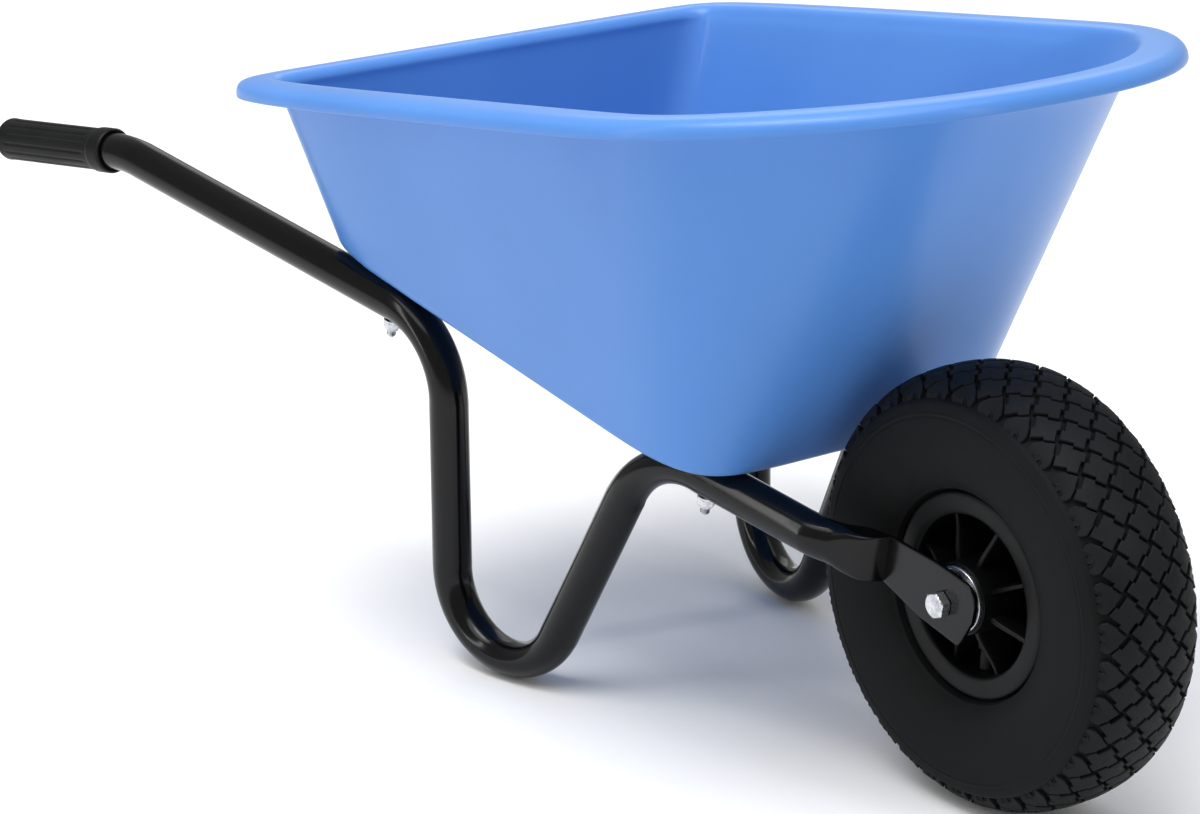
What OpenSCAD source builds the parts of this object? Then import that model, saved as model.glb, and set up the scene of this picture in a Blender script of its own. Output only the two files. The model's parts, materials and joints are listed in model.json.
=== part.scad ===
// Small single-wheel barrow: a moulded plastic tub on two bent steel tubes that
// run from the hand grips to the axle of a pneumatic wheel.
// +X points forwards (towards the wheel), +Y to the left, +Z up. The origin is on
// the ground, in the middle of the barrow's length and width.

/* [Wheel] */
// Diameter of the inflated tyre
wheel_d = 260; // [254:1:264]
// Width of the tyre across its sidewalls
tyre_w = 81; // [78:1:83]
// Diameter of the rim over its flanges
flange_d = 122; // [119:1:124]
// Width of the rim over its flanges
rim_w = 57; // [55:1:60]
// Number of ribs on each face of the rim
ribs = 8; // [6:1:10]
// Length of the wheel's hub
hub_len = 70; // [68:1:72]

/* [Frame tube] */
// Outer diameter of the frame tube
tube_d = 25; // [24.5:0.5:25.5]
// Wall thickness of the frame tube
tube_wall = 1.5; // [1.2:0.1:2]
// Slope of the tube from the handle down to the axle, in degrees
run_slope = 12.5; // [12:0.1:13]
// Height of that slope's line above the axle, beside the wheel
run_lift = 2.5; // [1:0.5:4]
// Angle by which each tube turns outwards towards the handles
toe_angle = 10; // [9:0.1:11]
// Distance from the wheel's mid-plane to the line of the tube, beside the axle
fork_half = 53.5; // [53:0.5:56]

/* [Leg] */
// Distance from the axle to the corner where the tube turns down into the leg
leg_rear = 382.5; // [378:0.5:386]
// Distance from the axle to the middle of the foot bend
foot_x = 334.5; // [332:0.5:337]
// Distance from the axle to the corner where the leg meets the front run
leg_front = 213; // [210:1:216]
// Centre-line radius of the foot bend
foot_r = 50; // [47:1:52]
// Centre-line radius of the bends at the top of the leg
knee_r = 58; // [50:1:62]

/* [Handle] */
// Distance from the axle to the bend in front of the grip
grip_bend = 680; // [676:1:690]
// Centre-line radius of that bend
grip_bend_r = 100; // [80:5:110]
// Distance from that bend to the end of the grip
grip_reach = 127; // [124:1:132]
// Angle by which the grip drops towards its end, in degrees
grip_drop = 4.5; // [0:0.5:6]
// Length of the hand grip
grip_len = 112; // [106:1:114]
// Outer diameter of the hand grip
grip_d = 28.4; // [28:0.1:29.4]

/* [Tub] */
// Length of the tub over its rim
tub_len = 578; // [570:1:586]
// Distance from the axle forwards to the rim's front edge
tub_front = 44.5; // [40:0.5:48]
// Width of the rim at its middle
tub_w = 413; // [408:1:418]
// Amount by which the rim's half width grows from middle to rear
rim_taper = 4; // [2:0.5:6]
// Height of the rim above the ground, at the front
rim_h = 431; // [426:1:436]
// Slope of the rim, rising forwards, in degrees
rim_slope = 6.8; // [6:0.1:7.5]
// Width of the rolled lip
lip_w = 27; // [24:1:29]
// Depth of the lip's turned-down edge
lip_drop = 10; // [8:1:13]
// Wall thickness of the tub
tub_wall = 3; // [2.5:0.1:3.5]
// Length of the tub's floor
floor_len = 368; // [362:1:374]
// Distance from the axle back to the front edge of the floor
floor_front = 133; // [130:1:137]
// Half width of the floor at its middle
floor_half = 132.5; // [130:0.5:135]
// Radius along the bottom edges of the tub
bottom_r = 7; // [5:1:9]

/* [Fasteners] */
// Diameter of the axle bolt
axle_d = 10; // [10:0.5:11]
// Diameter of the tub bolts
bolt_d = 6; // [5:0.5:6.5]
// Distance from the axle to the rear tub bolts
bolt_rear = 428; // [424:1:432]
// Distance from the axle to the front tub bolts
bolt_front = 166; // [163:1:170]

/* [Hidden] */
$fn = 64;
tube_r = tube_d / 2;
axle_h = wheel_d / 2;
toe_cos = cos(toe_angle);
bend_swell = 0.05;
bend_lap = 1;

// Colours
light_blue = [0.40, 0.56, 0.83];
black_paint = [0.03, 0.03, 0.035];
black_plastic = [0.05, 0.05, 0.055];
rubber = [0.06, 0.06, 0.06];
zinc = [0.76, 0.77, 0.79];
zinc_dark = [0.72, 0.73, 0.75];
steel = [0.74, 0.75, 0.77];

// Pieces stacked along the axle, measured out from the wheel's mid-plane
bearing_od = 35;
bearing_w = 11;
bearing_pitch = 11.25;
ball_r = 3;
race_gap = 0.05;
ring_edge = 2.1;
balls = 8;
cap_t = 2;
cap_r = 19.5;
hub_r = 21.5;
spacer_r = 8.6;
spacer_flange_r = 12.5;
bolt_washer_r = 7;
bolt_head_r = 6.2;
bolt_reach = 24;
bolt_fit = 0.3;
seat_cut = 0.3;
nut_seat_r = 6.4;
nut_washer_r = 6;
nut_washer_t = 1.2;
nut_af = 10;
nut_h = 4.5;
nut_collar_r = 4.6;
nut_collar_h = 1.5;
spot_h = 9;
through = 40;
bolt_head_t = 3.4;
dome_r = 8.5;
plate_t = 3;
plate_in = 44.5;
plate_out = plate_in + plate_t;
washer_t = 1.5;
head_t = 6.5;
head_turn = 20;
axle_nut_h = 7;
axle_collar_r = 6.4;
axle_collar_h = 2;
axle_washer_r = 9.5;
cap_bore_r = 11;
cap_sheet = 0.3;
neck = 0.6;
axle_af = 14;
axle_reach = 61;
axle_gap = 0.2;
bearing_in = hub_len / 2 - bearing_w;

// Rim and tyre sections
flange_r = flange_d / 2;
flange_t = 5;
seat_r = 51;
barrel_t = 4;
rib_t = 4;
web_t = 3;
tyre_wall = 5;
shoulder = 36;
flange_gap = 0.5;
bead_half = rim_w / 2 - flange_t;
inner_tube_mid = wheel_d / 2 - shoulder - 2;
inner_tube_r = 28;
inner_tube_wall = 2;
valve_r = 4;
valve_len = 32;
valve_cap_h = 6;
valve_y = 13;

// Frame tube: a path in the tube's own upright plane. The first number is the
// distance along the plane, negative towards the handles, the second the height.
function unit(v) = v / norm(v);
function left(v) = [-v.y, v.x];
function turn(a, b, c) =
    let (u = unit(b - a), v = unit(c - b)) atan2(u.x * v.y - u.y * v.x, u * v);
function trim(a, b, c, r) = r * tan(abs(turn(a, b, c)) / 2);
function on_run(x) = [-x / toe_cos, axle_h + run_lift + x * tan(run_slope)];
function tangent_point(p, c, r, side) =
    let (v = p - c, a = atan2(v.y, v.x) + side * acos(r / norm(v)))
    c + r * [cos(a), sin(a)];
function meet(a, b, c, d) =
    let (u = b - a, v = d - c, w = c - a)
    a + u * (w.x * v.y - w.y * v.x) / (u.x * v.y - u.y * v.x);

knee_rear = on_run(leg_rear);
knee_front = on_run(leg_front);
foot_c = [-foot_x / toe_cos, foot_r + tube_r + bend_swell];
foot_corner = meet(knee_rear, tangent_point(knee_rear, foot_c, foot_r, 1),
                   knee_front, tangent_point(knee_front, foot_c, foot_r, -1));
grip_corner = on_run(grip_bend);
grip_dir = [-cos(grip_drop), -sin(grip_drop)];
tube_end = grip_corner + grip_dir * (grip_reach - 4);
crush_x = 76;
crease_x = 51;
crease_low = -11.5;
crease_high = 16.5;
crush_lap = 1;
crush_step = 0.6;
sheath = 0.1;
bore_stop = 5;
tube_front = on_run(crush_x);
bends = [grip_corner, knee_rear, foot_corner, knee_front];
tube_path = [tube_end, each bends, tube_front];
bore_path = [tube_end + grip_dir, each bends, on_run(crush_x + bore_stop)];
tube_radii = [0, grip_bend_r, knee_r, foot_r, knee_r];

// Grip: sleeve with a collar at its mouth and a rounded closed end
grip_round = 5;
collar_len = 13;
collar_d = grip_d + 2;

// Overall length, which sets the origin half way
grip_end_x = grip_bend + ((grip_reach - grip_round) * cos(grip_drop)) * toe_cos
    + (grip_d / 2 - grip_round) * sin(toe_angle) + grip_round;
mid_x = (grip_end_x - wheel_d / 2) / 2;

// Tub outlines: a super-ellipse, squarer at the rear than at the front
outline_steps = 72;
function ease(k) = pow((1 - cos(k)) / 2, 2);
function reach(v, n) = sign(v) * pow(abs(v), 2 / n);
function outline(a, b, taper, n_front, n_rear) = [
    for (i = [0:outline_steps - 1])
        let (k = 360 * i / outline_steps, n = n_front + (n_rear - n_front) * ease(k),
             x = reach(cos(k), n))
        [a * x, (b - taper * x) * reach(sin(k), n)]
];
// The rim's outline set in by a distance. Its corners get sharper as it gets smaller, so
// that the lip is about as wide round the rear corners as along the sides.
rim_front_n = 2.4;
rim_rear_n = 10;
inner_rear_n = 17;
function rim_outline(inset) =
    outline(tub_len / 2 - inset, tub_w / 2 - inset, rim_taper, rim_front_n,
            rim_rear_n + (inner_rear_n - rim_rear_n) * inset / lip_w);
floor_taper = 11;
floor_front_n = 7;
floor_rear_n = 15;
rim_mid = tub_front - tub_len / 2;
floor_mid = -floor_front - floor_len / 2;

// ---------- placing ----------

module from_axle() translate([mid_x, 0, 0]) children();

// Puts what is drawn in a tube's own plane on one side: -1 is right, 1 is left
module in_plane(side)
    from_axle() translate([0, side * fork_half, 0]) rotate([0, 0, -side * toe_angle])
        children();

// Turns the axle's line onto +Z, so that round parts can be drawn upright
module on_axle(side) from_axle() translate([0, 0, axle_h]) rotate([-side * 90, 0, 0]) children();

// A tub bolt's line, square to the tube, with its zero on the tube's centre line
module at_bolts()
    for (side = [-1, 1], x = [bolt_rear, bolt_front])
        in_plane(side) translate([on_run(x).x, 0, on_run(x).y]) rotate([0, run_slope, 0])
            children();

module ring(r_out, r_in, h)
    difference() {
        cylinder(r = r_out, h = h);
        translate([0, 0, -1]) cylinder(r = r_in, h = h + 2);
    }

module hexagon(across, h) cylinder(d = across / cos(30), h = h, $fn = 6);

// ---------- frame ----------

// Straight cylinders and ring bends along a path. The bends are a hair thicker, and
// the straights run a little into them, so that no two faces lie on each other.
module bent_rod(path, radii, r)
    rotate([90, 0, 0]) union() {
        for (i = [0:len(path) - 2]) {
            u = unit(path[i + 1] - path[i]);
            cut_a = i == 0 ? 0 : trim(path[i - 1], path[i], path[i + 1], radii[i]);
            cut_b = i == len(path) - 2 ? 0
                : trim(path[i], path[i + 1], path[i + 2], radii[i + 1]);
            lap_a = i == 0 ? 0 : bend_lap;
            lap_b = i == len(path) - 2 ? 0 : bend_lap;
            a = path[i] + u * (cut_a - lap_a);
            span = norm(path[i + 1] - path[i]) - cut_a - cut_b + lap_a + lap_b;
            translate([a.x, a.y, 0]) rotate([0, 0, atan2(u.y, u.x)]) rotate([0, 90, 0])
                cylinder(r = r, h = span);
        }
        for (i = [1:len(path) - 2]) {
            u = unit(path[i] - path[i - 1]);
            bend = turn(path[i - 1], path[i], path[i + 1]);
            a = path[i] - u * trim(path[i - 1], path[i], path[i + 1], radii[i]);
            c = a + left(u) * sign(bend) * radii[i];
            from = atan2(a.y - c.y, a.x - c.x);
            translate([c.x, c.y, 0]) rotate([0, 0, bend > 0 ? from : from + bend])
                rotate_extrude(angle = abs(bend)) translate([radii[i], 0])
                    circle(r = r + bend_swell);
        }
    }

// Outline of the crushed end, seen from the side, with its zero on the bolt hole
plate_points = [[-crease_x - 1, -12], [-crease_x - 1, 17], [-10, 21], [8, 21.5],
    for (k = [75:-15:15]) [15 + 10 * cos(k), 11.5 + 10 * sin(k)],
    [25.2, 0], [18, -18.5], [-16, -18]];

module plate(side)
    from_axle() translate([0, 0, axle_h]) rotate([0, run_slope, 0])
        translate([0, side > 0 ? plate_out : -plate_in, 0]) rotate([90, 0, 0])
            linear_extrude(plate_t) polygon(plate_points);

// The round tube flows into the flat plate between the crush and the crease. It starts
// a little inside the tube and ends a little inside the plate.
module crush(side)
    hull() {
        in_plane(side) translate([tube_front.x, 0, tube_front.y]) rotate([0, 90 + run_slope, 0])
            translate([0, 0, -crush_lap]) cylinder(r = tube_r - crush_step, h = 2, $fn = 32);
        from_axle() translate([0, 0, axle_h]) rotate([0, run_slope, 0])
            translate([-crease_x, side * (plate_in + plate_t / 2), crease_low])
                translate([0, sheath - plate_t / 2, 0])
                    cube([1, plate_t - 2 * sheath, crease_high - crease_low]);
    }

module frame_tube(side)
    color(black_paint) difference() {
        union() {
            in_plane(side) bent_rod(tube_path, tube_radii, tube_r);
            crush(side);
            plate(side);
        }
        in_plane(side) bent_rod(bore_path, tube_radii, tube_r - tube_wall);
        at_bolts() {
            cylinder(d = bolt_d + 2 * bolt_fit, h = through, center = true);
            translate([0, 0, -through / 2])
                cylinder(r = nut_seat_r, h = through / 2 - tube_r + seat_cut);
        }
        on_axle(side) cylinder(d = axle_d + 2 * axle_gap, h = 80);
    }

module grip(side)
    color(black_plastic) in_plane(side)
        translate([grip_corner.x, 0, grip_corner.y]) rotate([0, -90 - grip_drop, 0])
            translate([0, 0, grip_reach - grip_len]) difference() {
                union() {
                    cylinder(d = grip_d, h = grip_len - grip_round);
                    cylinder(d = collar_d, h = collar_len);
                    translate([0, 0, grip_len - grip_round]) rotate_extrude()
                        intersection() {
                            union() {
                                square([grip_d / 2 - grip_round, grip_round]);
                                translate([grip_d / 2 - grip_round, 0]) circle(r = grip_round);
                            }
                            square([grip_d, grip_round]);
                        }
                }
                translate([0, 0, -1]) cylinder(r = tube_r, h = grip_len - 3);
            }

// ---------- tub ----------

// A thin slice of the tub, inset from the rim's or the floor's outline
module rim_slice(inset, drop)
    translate([tub_front, 0, rim_h]) rotate([0, -rim_slope, 0])
        translate([-tub_len / 2, 0, -drop]) linear_extrude(0.2)
            polygon(rim_outline(inset));

module floor_slice(inset, lift)
    translate([0, 0, axle_h + run_lift]) rotate([0, run_slope, 0])
        translate([floor_mid / cos(run_slope), 0, tube_r + lift]) linear_extrude(0.2)
            polygon(outline(floor_len / 2 - inset, floor_half - inset, floor_taper,
                            floor_front_n, floor_rear_n));

// Solid between floor and rim; inset thins it to make the inside
module tub_body(inset, top)
    hull() {
        rim_slice(lip_w + inset, top);
        floor_slice(inset, bottom_r);
        floor_slice(inset + bottom_r * 0.3, bottom_r * 0.3 + inset * 0.7);
        floor_slice(inset + bottom_r, inset);
    }

module tub()
    color(light_blue) from_axle() difference() {
        union() {
            tub_body(0, tub_wall);
            translate([0, 0, -0.2]) lip_block(0, lip_drop, 0.2);
        }
        tub_body(tub_wall, -1);
        difference() {
            lip_block(tub_wall, lip_drop + 2, tub_wall);
            tub_body(0, 0);
        }
        translate([-mid_x, 0, 0]) at_bolts() {
            cylinder(d = bolt_d + 2 * bolt_fit, h = through);
            translate([0, 0, tube_r + tub_wall])
                cylinder(r = bolt_washer_r + bolt_fit, h = spot_h);
        }
    }

// A block on the rim's outline, from a depth below the rim's top up to another
module lip_block(inset, depth, top)
    translate([tub_front, 0, rim_h]) rotate([0, -rim_slope, 0])
        translate([-tub_len / 2, 0, -depth]) linear_extrude(depth - top)
            polygon(rim_outline(inset));

// ---------- tub fasteners ----------

module tub_bolts()
    color(zinc_dark) at_bolts() {
        translate([0, 0, -bolt_reach])
            cylinder(d = bolt_d, h = bolt_reach + tube_r + tub_wall + 2);
        translate([0, 0, tube_r + tub_wall + washer_t]) intersection() {
            cylinder(r = bolt_head_r, h = bolt_head_t);
            translate([0, 0, bolt_head_t - dome_r]) sphere(r = dome_r);
        }
    }

module tub_bolt_washers()
    color(zinc) at_bolts()
        translate([0, 0, tube_r + tub_wall]) ring(bolt_washer_r, bolt_d / 2 + axle_gap, washer_t);

module tub_nut_washers()
    color(zinc) at_bolts()
        translate([0, 0, seat_cut - tube_r - nut_washer_t])
            ring(nut_washer_r, bolt_d / 2 + axle_gap, nut_washer_t);

module tub_nuts()
    color(zinc_dark) at_bolts()
        translate([0, 0, seat_cut - tube_r - nut_washer_t - nut_h - nut_collar_h])
            difference() {
                union() {
                    translate([0, 0, nut_collar_h]) hexagon(nut_af, nut_h);
                    cylinder(r = nut_collar_r, h = nut_collar_h + 0.1);
                }
                translate([0, 0, -1]) cylinder(d = bolt_d, h = nut_h + nut_collar_h + 3);
            }

// ---------- axle and bearings ----------

module axle_bolt()
    color(zinc_dark) on_axle(-1) {
        translate([0, 0, -axle_reach]) cylinder(d = axle_d, h = axle_reach + plate_out + 2);
        translate([0, 0, plate_out]) intersection() {
            rotate([0, 0, head_turn]) hexagon(axle_af, head_t);
            cylinder(r1 = 1.5 * axle_af / 2, r2 = 1.04 * axle_af / 2, h = head_t);
        }
    }

module axle_nut()
    color(zinc_dark) on_axle(1) translate([0, 0, plate_out + washer_t]) difference() {
        union() {
            hexagon(axle_af, axle_nut_h);
            cylinder(r = axle_collar_r, h = axle_nut_h + axle_collar_h);
        }
        translate([0, 0, -1]) cylinder(d = axle_d, h = axle_nut_h + axle_collar_h + 3);
    }

module axle_washer()
    color(zinc) on_axle(1) translate([0, 0, plate_out])
        ring(axle_washer_r, axle_d / 2 + axle_gap, washer_t);

// Stepped bushes: narrow where they press on a bearing's inner ring, wide at the plate
module axle_spacers()
    color(zinc) for (side = [-1, 1])
        on_axle(side) translate([0, 0, hub_len / 2]) difference() {
            union() {
                cylinder(r = spacer_r, h = plate_in - hub_len / 2);
                translate([0, 0, cap_t + neck])
                    cylinder(r = spacer_flange_r, h = plate_in - hub_len / 2 - cap_t - neck);
            }
            translate([0, 0, -1]) cylinder(r = axle_d / 2 + axle_gap, h = 20);
        }

module bearing_sleeve()
    color(steel) on_axle(1) translate([0, 0, -bearing_in])
        ring(8, axle_d / 2 + axle_gap, 2 * bearing_in);

// Half of a bearing's section, between two radii, with the balls' groove cut out
module race(r_in, r_out)
    for (side = [-1, 1])
        on_axle(side) translate([0, 0, bearing_in]) rotate_extrude() difference() {
            translate([r_in, 0]) square([r_out - r_in, bearing_w]);
            translate([bearing_pitch, bearing_w / 2]) circle(r = ball_r + race_gap);
        }

module bearing_inner_rings()
    color(steel) race(axle_d / 2 + axle_gap, bearing_pitch - ring_edge);

module bearing_outer_rings()
    color(steel) race(bearing_pitch + ring_edge, bearing_od / 2);

module bearing_balls()
    color(steel) for (side = [-1, 1], i = [0:balls - 1])
        on_axle(side) rotate([0, 0, 360 * i / balls])
            translate([bearing_pitch, 0, bearing_in + bearing_w / 2]) sphere(r = ball_r);

module bearing_caps()
    color(zinc) for (side = [-1, 1])
        on_axle(side) translate([0, 0, hub_len / 2]) rotate_extrude()
            polygon([[cap_bore_r, cap_sheet], [cap_bore_r, cap_t], [cap_r - 1.5, cap_t],
                [cap_r, cap_t - 1], [cap_r, 0], [bearing_pitch + ring_edge + 1, 0],
                [bearing_pitch + ring_edge + 1, cap_sheet]]);

// ---------- wheel ----------

module rim()
    color(black_plastic) on_axle(1) difference() {
        union() {
            rotate_extrude() polygon([
                [seat_r - barrel_t, -rim_w / 2 + 1.5], [flange_r - 2, -rim_w / 2],
                [flange_r, -rim_w / 2 + 2], [flange_r, -bead_half], [seat_r, -bead_half],
                [seat_r - 1.5, -10], [seat_r - 1.5, 10], [seat_r, bead_half],
                [flange_r, bead_half], [flange_r, rim_w / 2 - 2], [flange_r - 2, rim_w / 2],
                [seat_r - barrel_t, rim_w / 2 - 1.5]]);
            translate([0, 0, -web_t / 2]) cylinder(r = seat_r - barrel_t + 1, h = web_t);
            translate([0, 0, -hub_len / 2]) cylinder(r = hub_r, h = hub_len);
            for (i = [0:ribs - 1]) rotate([0, 0, 360 * (i + 0.5) / ribs])
                translate([hub_r - 2, -rib_t / 2, 6 - rim_w / 2])
                    cube([seat_r - barrel_t - hub_r + 3, rib_t, rim_w - 12]);
        }
        for (end = [0, 1]) mirror([0, 0, end]) translate([0, 0, bearing_in])
            cylinder(d = bearing_od, h = bearing_w + 1);
        cylinder(r = 10, h = hub_len, center = true);
        valve_axis() cylinder(r = valve_r + 0.3, h = 20, center = true);
    }

// The valve points from the seat in towards the hub, between two ribs
module valve_axis() translate([0, seat_r, -valve_y]) rotate([-90, 0, 0]) children();

// Section of the inflated tyre, or of the space inside it
function tyre_side(grow, side) = [
    for (k = [0:10:90])
        [wheel_d / 2 - grow - (shoulder - grow) * (1 - pow(cos(k), 0.62)),
         side * (tyre_w / 2 - grow) * pow(sin(k), 0.85)],
    for (k = [15:15:75])
        let (foot = bead_half - grow * 0.3)
        [wheel_d / 2 - shoulder - (wheel_d / 2 - shoulder - flange_r - 1) * sin(k),
         side * (foot + (tyre_w / 2 - grow - foot) * cos(k))],
];
function backwards(v) = [for (i = [len(v) - 1:-1:0]) v[i]];

module tyre()
    color(rubber) on_axle(1) rotate_extrude() difference() {
        polygon(concat([[seat_r, bead_half], [flange_r + flange_gap, bead_half]],
            backwards(tyre_side(0, 1)), tyre_side(0, -1),
            [[flange_r + flange_gap, -bead_half], [seat_r, -bead_half]]));
        polygon(concat([[seat_r - 1, bead_half - tyre_wall]],
            backwards(tyre_side(tyre_wall, 1)), tyre_side(tyre_wall, -1),
            [[seat_r - 1, tyre_wall - bead_half]]));
    }

module inner_tube()
    color(rubber) on_axle(1) rotate_extrude() translate([inner_tube_mid, 0]) difference() {
        circle(r = inner_tube_r);
        circle(r = inner_tube_r - inner_tube_wall);
    }

module valve_stem()
    color(rubber) on_axle(1) valve_axis()
        cylinder(r = valve_r, h = valve_len, center = true);

module valve_cap()
    color(black_plastic) on_axle(1) valve_axis()
        translate([0, 0, -valve_len / 2 - valve_cap_h]) cylinder(r = valve_r + 0.8, h = valve_cap_h);

tub();
frame_tube(-1);  // frame_tube_right
frame_tube(1);  // frame_tube_left
grip(-1);  // grip_right
grip(1);  // grip_left
tub_bolts();
tub_bolt_washers();
tub_nut_washers();
tub_nuts();
axle_bolt();
axle_nut();
axle_washer();
axle_spacers();
bearing_sleeve();
bearing_inner_rings();
bearing_balls();
bearing_outer_rings();
bearing_caps();
rim();
tyre();
inner_tube();
valve_stem();
valve_cap();
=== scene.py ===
"""Looks of a small garden barrow: a moulded tub on bent steel tubes, hand grips and a pneumatic wheel.

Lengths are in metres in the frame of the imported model, with +X forwards, +Y left, +Z up and the ground
at Z = 0. Sizes that a maker would read off a drawing are written in millimetres times MM.
"""

import sys

import json
import logging
import math
from dataclasses import dataclass
from enum import Enum
from functools import lru_cache
from typing import Any, Callable, Sequence

import bmesh
import bpy
import numpy as np
from mathutils import Matrix


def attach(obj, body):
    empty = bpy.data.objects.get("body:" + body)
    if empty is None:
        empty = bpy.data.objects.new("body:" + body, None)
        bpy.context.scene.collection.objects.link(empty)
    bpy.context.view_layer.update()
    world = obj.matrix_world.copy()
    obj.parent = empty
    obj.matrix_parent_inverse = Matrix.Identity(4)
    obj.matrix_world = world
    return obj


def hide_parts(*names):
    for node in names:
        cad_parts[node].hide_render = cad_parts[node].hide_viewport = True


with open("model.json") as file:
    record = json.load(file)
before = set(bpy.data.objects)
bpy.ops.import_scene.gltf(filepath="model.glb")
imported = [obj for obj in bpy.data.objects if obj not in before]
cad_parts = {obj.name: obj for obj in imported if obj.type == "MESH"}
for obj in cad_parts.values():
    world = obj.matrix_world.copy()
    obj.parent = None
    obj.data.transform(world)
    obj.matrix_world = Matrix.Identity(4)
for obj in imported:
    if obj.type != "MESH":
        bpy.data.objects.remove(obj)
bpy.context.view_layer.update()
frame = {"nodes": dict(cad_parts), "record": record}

LOG = logging.getLogger("barrow")
MM = 0.001
TAU = 2 * math.pi
Array = np.ndarray

RECORD = frame["record"]
AXLE = np.array(RECORD["behaviour"]["joints"][0]["pos_m"], float)
MOUNTS = {mount["name"]: mount for mount in RECORD["mounts"]}


class Body(Enum):
    """The two rigid bodies of the barrow."""

    FRAME = "frame"
    WHEEL = "wheel"


class Side(Enum):
    """Side of the barrow, as the sign of Y."""

    RIGHT = -1
    LEFT = 1

    @property
    def word(self) -> str:
        """Lower-case name of the side."""
        return self.name.lower()


# ---------- arrays ----------


def unit(v: Array) -> Array:
    """Scales vectors along the last axis to length one."""
    return v / np.linalg.norm(v, axis=-1, keepdims=True)


def ease(t: Array) -> Array:
    """Smooth step: three t squared less two t cubed, with t held between 0 and 1."""
    t = np.clip(t, 0.0, 1.0)
    return t * t * (3 - 2 * t)


def upright_frame(axis: Array) -> tuple[Array, Array, Array]:
    """Finds two directions square to an axis.

    Args:
        axis: Direction of the axis.

    Returns:
        The unit axis and two unit vectors that make a right-handed set with it.
    """
    w = unit(np.asarray(axis, float))
    guide = np.array([0.0, 0.0, 1.0]) if abs(w[2]) < 0.9 else np.array([1.0, 0.0, 0.0])
    u = unit(np.cross(guide, w))
    return w, u, np.cross(w, u)


def spline(controls: Array, per_span: int) -> Array:
    """Uniform cubic B-spline through a stack of control values.

    The weights of four neighbours at t are (1-t)^3/6, (3t^3-6t^2+4)/6, (-3t^3+3t^2+3t+1)/6 and t^3/6.
    The first and last controls are repeated, so the curve starts and ends on them.

    Args:
        controls: Control values, stacked along the first axis.
        per_span: Samples in each span.

    Returns:
        The curve's values, stacked along the first axis.
    """
    padded = np.concatenate([controls[:1]] * 2 + [controls] + [controls[-1:]] * 2)
    spans = len(padded) - 3
    t = np.linspace(0, spans, spans * per_span + 1)
    first = np.minimum(t.astype(int), spans - 1)
    t = t - first
    weights = np.stack([(1 - t) ** 3, 3 * t**3 - 6 * t**2 + 4,
                        -3 * t**3 + 3 * t**2 + 3 * t + 1, t**3], axis=1) / 6
    return sum(np.einsum("i,i...->i...", weights[:, k], padded[first + k]) for k in range(4))


def squared(v: Array, power: Array | float) -> Array:
    """Coordinate of a squared oval: sign(v) |v|^(2/power), with v a cosine or a sine."""
    return np.sign(v) * np.abs(v) ** (2 / power)


def column(radius: float, heights: Array) -> Array:
    """Rows of (radius, height) with one radius at several heights."""
    return np.stack([np.full_like(heights, radius), heights], axis=1)


def rounding(radius: float, end: float, edge: float, count: int, side: int = 1) -> Array:
    """Quarter circle that leads a profile from its side to its end face.

    Args:
        radius: Radius of the side.
        end: Height of the end face.
        edge: Radius of the quarter circle.
        count: Number of points.
        side: 1 where the end face is above, -1 where it is below.

    Returns:
        Rows of (radius, height).
    """
    t = np.linspace(0, math.pi / 2, count)
    return np.stack([radius - edge + edge * np.cos(t), end - side * edge + side * edge * np.sin(t)], axis=1)


# ---------- meshes ----------


@dataclass
class Patch:
    """Points and the faces between them."""

    points: Array
    faces: list[Array]

    @staticmethod
    def grid(points: Array) -> "Patch":
        """Joins a rows by columns by 3 array of points with quads, and the last column to the first.

        Args:
            points: Points of the surface, on a grid of two parameters.

        Returns:
            The surface.
        """
        rows, columns = points.shape[:2]
        i = np.arange(rows - 1)[:, None]
        j = np.arange(columns)[None, :]
        below, right = i + 1, (j + 1) % columns
        quads = np.stack([i * columns + j, below * columns + j,
                          below * columns + right, i * columns + right], axis=-1)
        return Patch(points.reshape(-1, 3), [quads.reshape(-1, 4)])

    @staticmethod
    def fan(ring: Array) -> "Patch":
        """Fills a closed ring of points with triangles about its middle.

        Args:
            ring: Points of the ring.

        Returns:
            The triangles.
        """
        count = len(ring)
        i = np.arange(count)
        triangles = np.stack([i, (i + 1) % count, np.full(count, count)], axis=-1)
        return Patch(np.vstack([ring, ring.mean(axis=0)]), [triangles])


def put(name: str, data: Any) -> bpy.types.Object:
    """Puts a new object with the given data into the scene.

    Args:
        name: Name of the object.
        data: Its mesh, light or camera.

    Returns:
        The object.
    """
    made = bpy.data.objects.new(name, data)
    bpy.context.scene.collection.objects.link(made)
    return made


def standing(right: Array, up: Array, back: Array, place: Sequence[float]) -> Matrix:
    """Matrix of an object with the given local X, Y and Z directions at a place."""
    rows = [[right[i], up[i], back[i], place[i]] for i in range(3)]
    return Matrix(rows + [[0, 0, 0, 1]])


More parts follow.
